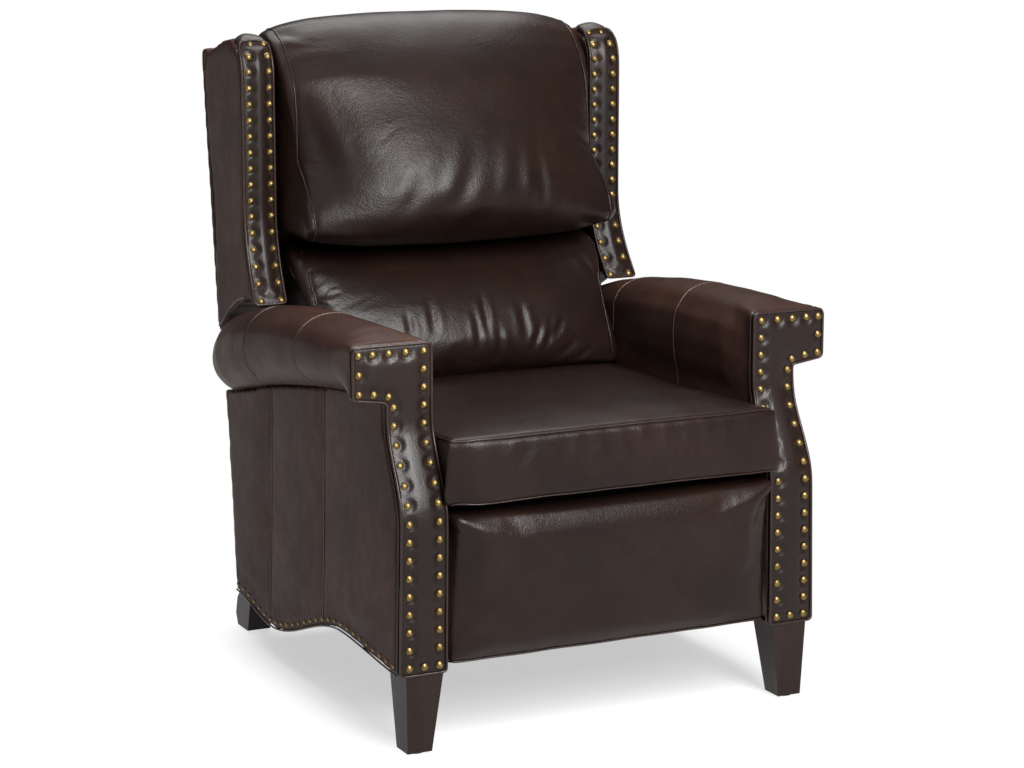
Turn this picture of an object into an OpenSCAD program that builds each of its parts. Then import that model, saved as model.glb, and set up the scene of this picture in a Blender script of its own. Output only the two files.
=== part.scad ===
// Push-back wingback recliner with nail-trimmed arms and wings, a loose seat cushion and a panel footrest.
// Millimetres, +Z up. The sitter faces -Y, and the origin is on the floor under the middle of the chair.

/* [Overall] */
// Width across the arm rolls
overall_w = 820; // [800:1:860]
// Depth from the seat cushion's front to the back panel
overall_d = 870; // [860:1:885]
// Width between the arms
seat_w = 564; // [550:1:575]
// Height of the front legs
leg_h = 128; // [120:1:136]

/* [Arms] */
// Height of the top of the front panel's head
head_top = 626; // [620:1:632]
// Height of the front panel's head
head_h = 83; // [75:1:90]
// Width of the front panel below its head
post_w = 72; // [66:1:78]
// How far the front panel steps back from its foot to its head
head_setback = 58; // [45:1:62]
// How far the seat cushion reaches past the foot of the front panel
seat_overhang = 22; // [15:1:30]
// Thickness of the front panel
facing_t = 14; // [10:1:16]
// Thickness of the padding on the inside of the arm
arm_pad_t = 18; // [15:1:20]
// Thickness of the wooden arm frame
frame_t = 38; // [32:1:42]
// Height of the arm roll's crown above the head
crown_rise = 16; // [10:1:20]
// Fall of the arm roll's crown from front to rear
crown_fall = 101; // [95:1:106]
// Fall of the arm roll's underside from front to rear
roll_fall = 118; // [110:1:122]

/* [Seat] */
// Thickness of the seat cushion at its side band
cushion_t = 103; // [90:1:108]
// Distance of the seat cushion's rear end ahead of the back panel
cushion_rear_in = 310; // [305:1:325]
// Height of the cushion's crown
cushion_crown = 12; // [6:1:18]
// Backward slope of the seat
seat_pitch = 2; // [1:0.5:2.5]
// Height of the cushion's front lower edge
cushion_z = 386; // [385:1:392]

/* [Footrest] */
// Height of the footrest's top when it is closed
footrest_top = 376; // [370:1:378]
// Thickness of the footrest board
board_t = 15; // [12:1:16]
// Length of a lazy-tong link between its end pivots
link_l = 176; // [168:1:180]
// Width of a link
link_w = 18; // [15:1:20]
// Thickness of a link
strap_t = 4; // [3:0.5:4.5]

/* [Back] */
// Height of the head pillow's crest
crest_h = 1076; // [1070:1:1085]
// Height of the front of the wings
wing_top = 1042; // [1036:1:1050]
// Width of a wing
wing_w = 55; // [52:1:60]
// Overall width across the wings
back_w = 706; // [700:1:712]
// Thickness of the back panel
back_panel_t = 12; // [10:1:14]
// Height of the recline pivot
recline_z = 400; // [396:1:404]
// Distance of the recline pivot ahead of the back panel
recline_in = 220; // [215:1:225]

/* [Nails] */
// Diameter of the large nail heads
nail_d = 12; // [9:0.5:13]
// Pitch of the large nails down the arm
arm_nail_pitch = 28.5; // [26:0.5:32]
// Pitch of the large nails down the wing
wing_nail_pitch = 27; // [25:0.5:30]
// Diameter of the small nail heads along the scallop
small_nail_d = 8; // [6:0.5:9]
// Pitch of the small nails
small_nail_pitch = 26; // [22:1:30]

/* [Hidden] */
leather = [0.16, 0.09, 0.08];
dark_wood = [0.13, 0.08, 0.07];
bare_wood = [0.72, 0.56, 0.38];
steel = [0.25, 0.25, 0.27];
bright_steel = [0.62, 0.62, 0.65];
old_brass = [0.62, 0.45, 0.2];
felt = [0.3, 0.3, 0.31];
$fn = 48;
overrun = 1;

// Places along the chair
front_y = -overall_d / 2;
rear_y = overall_d / 2;
post_y = front_y + seat_overhang;
head_y = post_y + head_setback;
arm_in = seat_w / 2;
arm_out = overall_w / 2;
frame_x = arm_in + arm_pad_t;
cushion_l = overall_d - cushion_rear_in;
recline_y = rear_y - recline_in;
panel_x = frame_x + frame_t;

// Front panel: the S-curve runs between two heights, and the outer edge leans out to the foot
foot_splay = 9;
foot_step = 4;
rear_taper = 14;
curve_top_drop = 31;
head_z = head_top - head_h;
curve_top = head_z - curve_top_drop;
curve_h = 150;
curve_steps = 10;
corner_r = 7;
head_slope = 8;
nail_inset = 13;
nail_edge = 9;
nail_low = 12;
nail_splay = 3;
head_nail_shares = [0.28, 0.54, 0.79, 1];
turn_nail_shares = [[0, 1], [0.43, 0.85], [0.86, 0.42]];

// Base rear edge
base_rear_in = 125;
base_rear_foot = rear_y - base_rear_in;
base_rake = 8.4;

// Scalloped lower edge
scallop_low_z = 62;
scallop_rear_z = 83;
scallop_high_z = 138;
scallop_low_in = 285;
scallop_high_in = 260;
scallop_low_y = rear_y - scallop_low_in;
scallop_high_y = front_y + scallop_high_in;
scallop_steps = 27;
scallop_nail_gap = 11.5;

// Arm roll: outline of its top and outer side, as shares of its width and height
roll_round_shares = [[0.09, 0.86], [0.19, 0.93], [0.33, 0.98], [0.48, 1], [0.63, 0.98], [0.77, 0.92],
    [0.89, 0.82],
  [0.97, 0.69], [1, 0.5], [0.98, 0.36], [0.92, 0.23], [0.8, 0.1], [0.66, 0]];
roll_square_shares = [[0.02, 0.99], [0.12, 1], [0.3, 1], [0.48, 1], [0.66, 1], [0.82, 1], [0.96, 1], [1,
    0.94],
  [1, 0.5], [1, 0.3], [1, 0.12], [0.97, 0.01], [0.64, 0]];
roll_station_shares = [0, 0.018, 0.05, 0.1, 0.2, 0.34, 0.48, 0.62, 0.75, 0.86, 0.92, 0.96, 0.985, 1];
roll_square_run = 70;
roll_end_run = 110;
roll_end_round = 76;
roll_narrowing = 14;
pad_low_z = 430;
pad_straight_h = 60;
pad_bulge = 11;
pad_bulge_in = 340;
pad_bulge_end = rear_y - pad_bulge_in;
pad_bulge_run = 150;
pad_bulge_shares = [[0.2, 0.69], [0.45, 1], [0.7, 0.69]];

// Arm frame
front_post_d = 50;
rear_post_d = 46;
low_rail_rise = 10;
low_rail_z = leg_h + low_rail_rise;
rail_h = 62;
track_rail_z = 238;
track_rail_h = 104;

// Legs
leg_foot_w = 41;
leg_top_w = 62;
leg_inset = 5;
leg_front_inset = 8;
glide_h = 3;
glide_d = 30;
bolt_d = 8;
bolt_l = 76;
bolt_gap = 0.1;
rear_leg_out = 330;
rear_leg_w = 42;
rear_leg_top_w = 47;
rear_leg_foot_in = [108, 59];
rear_leg_knee_in = [129, 68];
rear_leg_top_in = 165;
rear_leg_foot_y = [for (d = rear_leg_foot_in) rear_y - d];
rear_leg_knee_y = [for (d = rear_leg_knee_in) rear_y - d];
rear_leg_top_y = rear_y - rear_leg_top_in;
rear_leg_knee_z = 55;

// Base cross pieces
front_rail_in = 180;
front_rail_y = front_y + front_rail_in;
cross_rail_t = 22;
cross_rail_h = 80;
base_panel_t = 13;
base_panel_low = 97;
base_panel_top = 320;
cover_t = 2;
cover_lap = 20;

// Layers of the mechanism, counted inwards from the back bracket
layer_gap = 2;
layer_0 = arm_in - 12;
track_gap = 2;
track_t = 4;
track_z = 262;
track_h = 56;
track_lip = 20;
track_front_in = 115;
track_rear_in = 185;
track_front = front_y + track_front_in;
track_rear = rear_y - track_rear_in;
seat_travel = 45;
roller_d = 12;
roller_gap = 0.3;
roller_z = 290;
roller_ins = [235, 375];
roller_ys = [front_y + roller_ins[0], rear_y - roller_ins[1]];
bolt_x = frame_x + frame_t / 2;
front_bolt = [bolt_x, post_y + facing_t + front_post_d / 2];
rear_bolt = [bolt_x, base_rear(leg_h) - base_panel_t - rear_post_d / 2];
rivet_r = 4;
rivet_gap = 0.06;
rivet_head = 1.2;
pin_stand = 1;
boss_rim = 5;
strap_relief = 0.1;
open_gap = 0.5;
recline_pin_r = 8;
recline_pin_gap = 0.08;

// Lazy tong: it reaches out along a line that rises from the shaft
shaft_in = 150;
shaft_y = front_y + shaft_in;
shaft_z = 328;
shaft_r = 8;
shaft_bore_r = 6;
rise_angle = 5;
fold_angle = 9;
open_angle = 58;
control_reach = 130;
control_arm = 30;
control_length_share = 0.978;
control_turn = 1.07;
control_hole_r = 7.5;
control_w = 26;
reach = [-cos(rise_angle), sin(rise_angle)];
drop = [-sin(rise_angle), -cos(rise_angle)];
pivot_a = [shaft_y, shaft_z];
pivot_b = pivot_a + drop * link_l * cos(fold_angle);
pivot_b_open = pivot_a + drop * link_l * cos(open_angle);
pivot_c = pivot_b + reach * link_l * sin(fold_angle);
pivot_d = pivot_a + reach * link_l * sin(fold_angle);
pivot_e = pivot_d + reach * link_l * sin(fold_angle);
pivot_f = pivot_c + reach * link_l * sin(fold_angle);
pivot_rear_mid = (pivot_a + pivot_c) / 2;
pivot_front_mid = (pivot_d + pivot_f) / 2;
pivot_h = pivot_d + (pivot_f - pivot_d) * control_reach / link_l;
pivot_g = pivot_e - [0, control_arm];
control_end = pivot_h + turned((pivot_g - pivot_h) * control_length_share, control_turn);

// Recline lever: its slot drives the carriage forward while the back swings through its range
recline_range = 32;
lever_l = seat_travel / (2 * sin(recline_range / 2));
recline = [recline_y, recline_z];
lever_pin = recline + lever_l * [sin(recline_range / 2), -cos(recline_range / 2)];
lever_pin_r = 5;
lever_slot = 5;
lever_gap = 0.5;

// Seat, in the seat's own sloped frame: u runs back from the front edge, w runs up from the cushion's
// bottom
deck_t = 4;
seat_rail_h = 38;
seat_rail_t = 30;
seat_rail_x = 249;
seat_frame_front = 70;
seat_frame_rear = cushion_l;
side_rail_w = 37;
spring_count = 5;
spring_wire = 3.6;
spring_pitch = 24;
spring_half_w = 22;
spring_drop = 2;
flange_front = 180;
flange_rear_in = 4;
flange_rear = cushion_l - flange_rear_in;
cushion_side_gap = 3;
cushion_round = 10;

// Footrest
foot_side_gap = 2;
board_setback = 45;
board_y = front_y + board_setback;
board_inset = 10;
foot_rise = 4;
foot_low = leg_h + foot_rise;
foot_bulge = 6;
pad_lip = 1;
bracket_flange = 26;
bracket_flange_h = 70;

// Back: the rear face leans back, and below the wings it tucks in between the arms
back_rake = 6.9;
wide_low_z = 540;
back_top_z = 1000;
back_step = 14;
tuck_angle = 9.9;
back_low_z = 332;
back_side_gap = 6;
back_post_d = 40;
back_post_w = 38;
back_round = 16;
top_strip_in = 90;
top_strip_front = rear_y - top_strip_in;
top_strip_rise = 18;
wing_front_in = 195;
wing_front_y = rear_y - wing_front_in;
wing_flare = 58;
wing_flare_top = 750;
flare_power = 1.8;
wing_low_z = 606;
wing_top_r = 55;
wing_steps = 8;
wing_facing_t = 12;
wing_facing_lap = 8;
wing_crown_ins = [[98, 1027], [31, 1008]];
wing_crown = [for (p = wing_crown_ins) [rear_y - p[0], p[1]]];
wing_corner_drop = 32;
wing_splay = 6;
wing_corner_r = 28;
wing_nail_in = 8;
wing_nail_out = 11;
wing_nail_draw = 3;
back_rails = [[940, 40], [610, 50], [420, 50]];
back_rail_t = 24;

// Soft outlines, as shares of each form's depth and height, and how each point swells towards the middle
swell_power = 2.6;
edge_power = 9;
form_steps = 20;
pillow_in = 318;
pillow_low_z = 704;
pillow_size = [249, 354];
pillow_gap = 8;
pillow_low = [rear_y - pillow_in, pillow_low_z];
pillow_half_w = back_w / 2 - wing_w - pillow_gap;
pillow_crown = 36;
pillow_draw = 16;
pillow_outline_shares = [[0.07, 0], [0.01, 0.05], [0.045, 0.13], [0.14, 0.24], [0.235, 0.36], [0.285, 0.5],
  [0.325, 0.62], [0.38, 0.75], [0.48, 0.86], [0.61, 0.95], [0.75, 1], [0.88, 1], [0.97, 0.97], [1, 0.93],
  [0.9, 0.92], [0.88, 0.86],
  [0.93, 0.82], [0.97, 0.73], [0.93, 0.45], [0.89, 0.16], [0.86, 0.01], [0.7, 0], [0.45, 0], [0.22, 0]];
pillow_pinch_shares = [0.02, 0.02, 0.03, 0.05, 0.07, 0.055, 0.04, 0.02, 0.005, 0, 0, 0, 0, 0, 0, 0, 0, 0,
    0, 0, 0,
  0, 0, 0.01];
pillow_swell_shares = [[-0.2, -0.1], [-0.6, -0.1], [-1.1, 0], [-1.65, 0.05], [-1.95, 0.1], [-1.7, 0.2],
  [-1.2, 0.3], [-0.8, 0.4], [-0.5, 0.45], [-0.35, 0.5], [-0.1, 0.5], [0.1, 0.4], [0.1, 0.15], [0, 0], [0,
      0], [0, 0],
  [0, 0], [0, 0], [0, 0], [0, 0], [0, 0], [0, -0.05], [0, -0.08], [-0.05, -0.1]];
lumbar_in = 340;
lumbar_low_z = 474;
lumbar_size = [229, 213];
lumbar_gap = 12;
lumbar_low = [rear_y - lumbar_in, lumbar_low_z];
lumbar_half_w = min(arm_in, back_w / 2 - wing_w) - lumbar_gap;
lumbar_crown = 34;
lumbar_draw = 12;
lumbar_outline_shares = [[0.06, 0], [0.01, 0.05], [0.01, 0.16], [0.04, 0.3], [0.09, 0.43], [0.15, 0.55],
    [0.23, 0.67],
  [0.32, 0.79], [0.43, 0.89], [0.56, 0.96], [0.7, 1], [0.85, 1], [0.94, 0.96], [0.97, 0.85], [0.97, 0.58],
  [0.9, 0.3], [0.87, 0.1], [0.84, 0.01], [0.68, 0], [0.45, 0], [0.23, 0]];
lumbar_swell_shares = [[-0.2, 0], [-0.65, 0], [-0.9, 0], [-1, 0], [-1, 0], [-0.95, 0.05], [-0.8, 0.1],
  [-0.6, 0.12], [-0.4, 0.12], [-0.2, 0.1], [0, 0.05], [0, 0], [0, 0], [0, 0], [0, 0],
  [0, 0], [0, 0], [0, 0], [0, 0], [0, 0], [-0.05, 0]];
cushion_outline_shares = [[0.004, 0], [0, 0.05], [0, 0.5], [0, 0.95], [0.004, 1], [0.03, 1], [0.09, 1],
    [0.18, 1],
  [0.3, 1], [0.45, 1], [0.6, 1], [0.75, 1], [0.88, 1], [0.96, 1], [0.996, 1], [1, 0.95], [1, 0.5], [1,
      0.05],
  [0.996, 0]];
cushion_swell_shares = [[0, 0], [0, 0], [-0.15, 0], [0, 0], [0, 0], [0, 0.25], [0, 0.55], [0, 0.82], [0,
    0.97],
  [0, 1], [0, 1], [0, 0.9], [0, 0.6], [0, 0.25], [0, 0], [0, 0], [0.15, 0], [0, 0], [0, 0]];
foot_outline_shares = [[0.98, 0.01], [0.55, 0], [0.43, 0.02], [0.37, 0.12], [0.35, 0.28], [0.29, 0.48],
    [0.18, 0.68],
  [0.07, 0.84], [0.02, 0.93], [0.06, 0.975], [0.16, 0.985], [0.35, 0.965], [0.6, 0.95], [0.85, 0.945],
      [0.98, 0.935]];
foot_swell_shares = [[0, 0], [0, 0], [-0.3, 0], [-0.9, 0], [-1, 0], [-1, 0], [-0.9, 0], [-0.5, 0], [-0.2,
    0],
  [0, 0], [0, 0], [0, 0], [0, 0], [0, 0], [0, 0]];

function mix(a, b, t) = a + (b - a) * t;
function ease(t) = let (c = min(max(t, 0), 1)) c * c * (3 - 2 * c);
function spread(shares, low, size) = [for (s = shares) [low[0] + s[0] * size[0], low[1] + s[1] * size[1]]];
function front_face_y(z) = mix(head_y, post_y, ease((curve_top - z) / curve_h));
function base_rear(z) = base_rear_foot + z * tan(base_rake);
arm_start_y = head_y + facing_t;
arm_end_y = base_rear(pad_low_z);
side_lean = atan(foot_splay / (head_z - leg_h));
side_taper = atan(rear_taper / (arm_end_y - head_y));
arm_ys = [for (s = roll_station_shares) mix(arm_start_y, arm_end_y, s)];
curve_zs = [for (i = [0 : curve_steps]) mix(curve_top, curve_top - curve_h, i / curve_steps)];
function arm_run(y) = (y - arm_start_y) / (arm_end_y - arm_start_y);
function crown_z(y) = head_top + crown_rise - crown_fall * pow(max(arm_run(y), 0), 3);
function roll_low(y) = head_z - roll_fall * pow(max(arm_run(y), 0), 1.5);
function roll_out(y) = arm_out - roll_narrowing * pow(max(arm_run(y), 0), 3);
function scallop_z(y) = y > scallop_low_y
  ? mix(scallop_low_z, scallop_rear_z, ease((y - scallop_low_y) / (base_rear(scallop_rear_z)
      - scallop_low_y)))
  : y > scallop_high_y
    ? mix(scallop_low_z, scallop_high_z, ease((scallop_low_y - y) / (scallop_low_y - scallop_high_y)))
    : mix(scallop_high_z, leg_h, ease((scallop_high_y - y) / (scallop_high_y - post_y)));
function back_rear(z) = rear_y - (back_top_z - z) * tan(back_rake);
function tuck_rear(z) = back_rear(wide_low_z) - back_step - (wide_low_z - z) * tan(tuck_angle);
function flare(z) = pow(max((wing_flare_top - z) / (wing_flare_top - wing_low_z), 0), flare_power);
function wing_edge(z) = wing_front_y - wing_flare * flare(z);
function layer_x(n) = layer_0 - n * (strap_t + layer_gap);
function side_x(y, z) = arm_in + post_w + (head_z - z) * tan(side_lean) - (y - head_y) * tan(side_taper);
function wing_shift(z) = wing_splay * flare(z);
function turned(v, a) = [v[0] * cos(a) - v[1] * sin(a), v[0] * sin(a) + v[1] * cos(a)];

// Right-hand piece as drawn, or its mirror image on the left
module sided(side) {
  if (side > 0) {
    children();
  } else {
    mirror([1, 0, 0]) children();
  }
}

// Shape drawn in (y, z), extruded across the chair from x0 to x1
module side_view(x0, x1) {
  translate([x0, 0, 0]) rotate([90, 0, 90]) linear_extrude(height = x1 - x0) children();
}

// Shape drawn in (x, z), extruded along the chair from y0 to y1
module front_view(y0, y1) {
  translate([0, y1, 0]) rotate([90, 0, 0]) linear_extrude(height = y1 - y0) children();
}

// Closed skin over rings of points that all have the same count. An end that isn't flat is closed by a
// ladder of
// triangles from the front of its outline to the rear
module skin(rings, flat_ends) {
  n = len(rings[0]);
  last = len(rings) - 1;
  sides = [for (i = [0 : last - 1]) for (j = [0 : n - 1]) for (half = [0, 1])
    let (a = i * n + j, b = i * n + (j + 1) % n)
    half == 0 ? [a, a + n, b + n] : [a, b + n, b]];
  ladder = [for (i = [0 : n / 2 - 2]) each [[i, i + 1, n - 1 - i], [i + 1, n - 2 - i, n - 1 - i]]];
  first_cap = flat_ends ? [[for (j = [0 : n - 1]) j]] : ladder;
  caps = concat(first_cap, [for (face = first_cap) [for (j = [len(face) - 1 : -1 : 0])
      last * n + face[j]]]);
  polyhedron(points = [for (ring = rings) each ring], faces = concat(sides, caps));
}

// Soft form across the chair: its outline swells towards the middle, draws in at the sides and may be
// pinched narrower
module soft_form(outline, swell, half_w, draw_in, pinch) {
  centre = [for (k = [0, 1]) (min([for (p = outline) p[k]]) + max([for (p = outline) p[k]])) / 2];
  skin([for (i = [0 : form_steps])
    let (u = -cos(180 * i / form_steps), lift = 1 - pow(abs(u), swell_power), pull = draw_in * pow(abs(u),
        edge_power))
    [for (k = [len(outline) - 1 : -1 : 0])
      let (p = outline[k] + swell[k] * lift, away = p - centre, q = p - away * pull / norm(away))
      [u * half_w * (1 - pinch[k]), q[0], q[1]]]], max(pinch) == 0);
}

// Strap with round ends between two pivots, its sides a hair inside the ends
module strap_outline(a, b, w) {
  side_w = w - strap_relief;
  for (p = [a, b]) {
    translate(p) circle(d = w);
  }
  translate(a) rotate(atan2(b[1] - a[1], b[0] - a[0])) translate([0, -side_w / 2]) square([norm(b - a),
      side_w]);
}

// Round slot between two points
module slot_outline(a, b, r) {
  strap_outline(a, b, 2 * r);
}

module pin(p, x0, x1, r) {
  translate([x0, p[0], p[1]]) rotate([0, 90, 0]) cylinder(r = r, h = x1 - x0);
}

// Rivet on a link of layer n that holds a link of layer m, with a shoulder between them and a head
module rivet(p, n, m) {
  inward = m > n;
  far = inward ? layer_x(m) - rivet_head : layer_x(m) + strap_t + rivet_head;
  pin(p, inward ? far : layer_x(n), inward ? layer_x(n) + strap_t : far, rivet_r);
  pin(p, inward ? far : far - rivet_head, inward ? far + rivet_head : far, rivet_r + layer_gap);
  shoulder = inward ? layer_x(m) + strap_t : layer_x(m) - layer_gap;
  pin(p, shoulder, shoulder + layer_gap, rivet_r + layer_gap);
}

module nail_dome(d) {
  sphere_r = d * 0.62;
  sink = sphere_r - d * 0.3;
  intersection() {
    translate([0, 0, -sink]) sphere(r = sphere_r, $fn = 32);
    cylinder(d = d, h = d, $fn = 32);
  }
}

// Arm padding: the roll, the inside panel and the rounded rear end
function roll_ring(y) = let (
    from_front = (y - arm_start_y) / roll_square_run,
    soft = ease(from_front),
    to_end = max(1 - (arm_end_y - y) / roll_end_run, 0),
    tail = (1 - sqrt(max(1 - to_end * to_end, 0))) * roll_end_round,
    low = roll_low(y),
    high = mix(head_top + corner_r / 2, crown_z(y), soft) - tail,
    out = roll_out(y) - tail,
    bulge = pad_bulge * ease(from_front) * ease((pad_bulge_end - y) / pad_bulge_run),
    mid_z = min(pad_low_z + pad_straight_h, (pad_low_z + high) / 2))
  concat([[frame_x, low], [frame_x, pad_low_z], [arm_in, pad_low_z], [arm_in, mid_z]],
    [for (s = pad_bulge_shares) [arm_in - bulge * s[1], mix(mid_z, high, s[0])]],
    [for (k = [0 : len(roll_round_shares) - 1])
      let (s = mix(roll_square_shares[k], roll_round_shares[k], soft))
      [mix(arm_in, out, s[0]), mix(low, high, s[1])]]);

module arm_pad(side) {
  color(leather) sided(side) skin([for (y = arm_ys) [for (p = roll_ring(y)) [p[0], y, p[1]]]], true);
}

// Side view of the arm below the roll, drawn in from the front and the top by what covers it
module arm_area(front_inset, drop_z) {
  rear_top = roll_low(arm_end_y);
  polygon(concat([[post_y + front_inset, 0]],
    [for (k = [curve_steps : -1 : 0]) [front_face_y(curve_zs[k]) + front_inset, curve_zs[k]]],
    [[head_y + front_inset, roll_low(arm_start_y) - drop_z]],
    [for (y = arm_ys) if (y > head_y + front_inset) [y, roll_low(y) - drop_z]],
    [[base_rear(rear_top) + overrun, rear_top - drop_z], [base_rear(0) + overrun, 0]]));
}

// Half-plane in front of the raked rear edge
module ahead_of_rear(inset) {
  polygon([[front_y, -head_z], [base_rear(-head_z) - inset, -head_z], [base_rear(2 * head_z) - inset,
      2 * head_z],
    [front_y, 2 * head_z]]);
}

// Outside panel: scalloped below, tucked under the roll above, and turned round the rear of the arm
module arm_side(side) {
  first_y = post_y + facing_t;
  last_y = base_rear(scallop_rear_z);
  color(leather) sided(side) {
    difference() {
      side_view(panel_x, panel_x + post_w) intersection() {
        arm_area(facing_t, 0);
        ahead_of_rear(0);
        polygon(concat([[first_y, head_z], [first_y, leg_h]],
          [for (i = [0 : scallop_steps]) let (y = mix(first_y, last_y, i / scallop_steps)) [y,
              scallop_z(y)]],
          [[rear_y, scallop_rear_z], [rear_y, head_z]]));
      }
      translate([arm_in + post_w, head_y, head_z]) rotate([0, -side_lean, side_taper])
        translate([0, -overall_d, -2 * head_z]) cube([post_w * 2, overall_d * 3, head_z * 3]);
    }
    side_view(arm_in + layer_gap * 2, panel_x) intersection() {
      difference() {
        arm_area(facing_t, 0);
        ahead_of_rear(base_panel_t);
      }
      ahead_of_rear(0);
      translate([front_y, base_panel_top]) square([overall_d, head_z]);
    }
  }
}

// Front panel: head and post in one outline, bent to the S-curve of the arm's front
module arm_front(side) {
  heights = concat([head_top], curve_zs, [leg_h]);
  color(leather) sided(side) intersection() {
    front_view(front_y, head_y + facing_t * 2) difference() {
      polygon([[arm_in, head_top], [arm_in, head_z], [arm_in + foot_step, leg_h],
        [arm_in + post_w + foot_splay, leg_h], [arm_in + post_w, head_z - head_slope / 2],
        [arm_out, head_z + head_slope / 2], [arm_out, head_top]]);
      translate([arm_out - corner_r, head_top - corner_r]) difference() {
        square(corner_r * 2);
        circle(r = corner_r);
      }
    }
    side_view(arm_in - overrun, arm_out + overrun) polygon(concat([for (z = heights) [front_face_y(z), z]],
      [for (k = [len(heights) - 1 : -1 : 0]) [front_face_y(heights[k]) + facing_t, heights[k]]]));
  }
}

// Nail on the front panel, square to its face
module front_nail(x, z, d) {
  step = d / 2;
  slope = atan2(front_face_y(z + step) - front_face_y(z - step), 2 * step);
  translate([x, front_face_y(z), z]) rotate([90 - slope, 0, 0]) nail_dome(d);
}

module arm_nails(side) {
  inner_x = arm_in + nail_inset;
  outer_x = arm_in + post_w - nail_edge;
  head_x = arm_out - nail_edge;
  top_z = head_top - nail_low;
  low_z = leg_h + nail_low;
  high_z = head_z - nail_low;
  count = round((high_z - low_z) / arm_nail_pitch);
  head_rows = 3;
  color(old_brass) sided(side) {
    for (i = [0 : count]) {
      z = mix(low_z, high_z, i / count);
      splay = nail_splay * (count - i) / count;
      front_nail(outer_x + splay, z, nail_d);
      front_nail(inner_x + splay, z, nail_d);
    }
    front_nail((inner_x + outer_x) / 2 + nail_splay, low_z, nail_d);
    for (i = [1 : head_rows]) {
      front_nail(inner_x, mix(high_z, top_z, i / head_rows), nail_d);
    }
    for (s = head_nail_shares) {
      front_nail(mix(inner_x, head_x, s), top_z, nail_d);
    }
    front_nail(head_x, (top_z + head_z + nail_low) / 2, nail_d);
    for (s = turn_nail_shares) {
      front_nail(mix(head_x, outer_x, s[0]), head_z + nail_low * s[1], nail_d);
    }
  }
}

// Small nails just above the scalloped edge
module scallop_nails(side) {
  first = post_y + facing_t + small_nail_pitch / 2;
  run = base_rear(scallop_rear_z) - first - small_nail_d;
  count = floor(run / small_nail_pitch);
  color(old_brass) sided(side) for (i = [0 : count]) {
    y = first + i * run / count;
    z = scallop_z(y) + scallop_nail_gap;
    translate([side_x(y, z), y, z]) rotate([0, 90 + side_lean, side_taper]) nail_dome(small_nail_d);
  }
}

// Wooden arm frame: posts, lower rail, rail for the track and sloping top rail
module arm_frame(side) {
  front_in = facing_t + front_post_d;
  color(bare_wood) sided(side) difference() {
    side_view(frame_x, panel_x) intersection() {
      arm_area(facing_t, 0);
      ahead_of_rear(base_panel_t);
      translate([front_y, leg_h]) square([overall_d, head_z]);
      union() {
        difference() {
          arm_area(facing_t, 0);
          arm_area(front_in, -rail_h);
        }
        difference() {
          arm_area(facing_t, 0);
          ahead_of_rear(base_panel_t + rear_post_d);
        }
        difference() {
          arm_area(front_in - overrun, 0);
          arm_area(facing_t, rail_h);
        }
        translate([post_y + front_in - overrun, low_rail_z]) square([overall_d, rail_h]);
        translate([post_y + front_in - overrun, track_rail_z]) square([overall_d, track_rail_h]);
      }
    }
    leg_bore(front_bolt);
    leg_bore(rear_bolt);
  }
}

// Cross rail behind the front posts, under the seat's springs
module front_cross_rail() {
  color(bare_wood) translate([-frame_x, front_rail_y, low_rail_z]) cube([2 * frame_x, cross_rail_t,
      cross_rail_h]);
}

module rear_cross_rail() {
  color(bare_wood) side_view(-frame_x, frame_x) intersection() {
    difference() {
      ahead_of_rear(base_panel_t);
      ahead_of_rear(base_panel_t + cross_rail_t);
    }
    translate([0, low_rail_z]) square([rear_y, cross_rail_h]);
  }
}

module rear_panel() {
  color(leather) side_view(-panel_x, panel_x) intersection() {
    difference() {
      ahead_of_rear(0);
      ahead_of_rear(base_panel_t);
    }
    translate([0, base_panel_low]) square([rear_y, base_panel_top - base_panel_low]);
  }
}

// Cloth stapled under the frames, narrower at the rear where it passes between the posts
module dust_cover() {
  post_front = base_rear(leg_h) - base_panel_t - rear_post_d;
  half = frame_x + cover_lap;
  color(felt) translate([0, 0, low_rail_z - cover_t]) linear_extrude(height = cover_t) union() {
    translate([-half, front_rail_y]) square([2 * half, post_front - layer_gap - front_rail_y]);
    translate([-frame_x, front_rail_y]) square([2 * frame_x, post_front + cross_rail_t - front_rail_y]);
  }
}

// Hole for a leg bolt, half in the leg and half in the frame
module leg_bore(p) {
  translate([p[0], p[1], leg_h - bolt_l / 2 - bolt_gap]) cylinder(d = bolt_d + 2 * bolt_gap,
      h = bolt_l + 2 * bolt_gap);
}

// Tapered square leg, drilled for its bolt
module front_leg(side) {
  foot_x = arm_in + post_w - leg_foot_w - leg_inset;
  top_x = arm_in + foot_step + leg_inset;
  foot_y = post_y + leg_front_inset;
  top_y = post_y + layer_gap;
  color(dark_wood) sided(side) difference() {
    intersection() {
      front_view(front_y, 0) polygon([[foot_x, glide_h], [foot_x + leg_foot_w, glide_h],
          [top_x + leg_top_w, leg_h],
        [top_x, leg_h]]);
      side_view(0, arm_out) polygon([[foot_y, glide_h], [foot_y + leg_foot_w, glide_h], [top_y + leg_top_w,
          leg_h],
        [top_y, leg_h]]);
    }
    leg_bore(front_bolt);
  }
}

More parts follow.
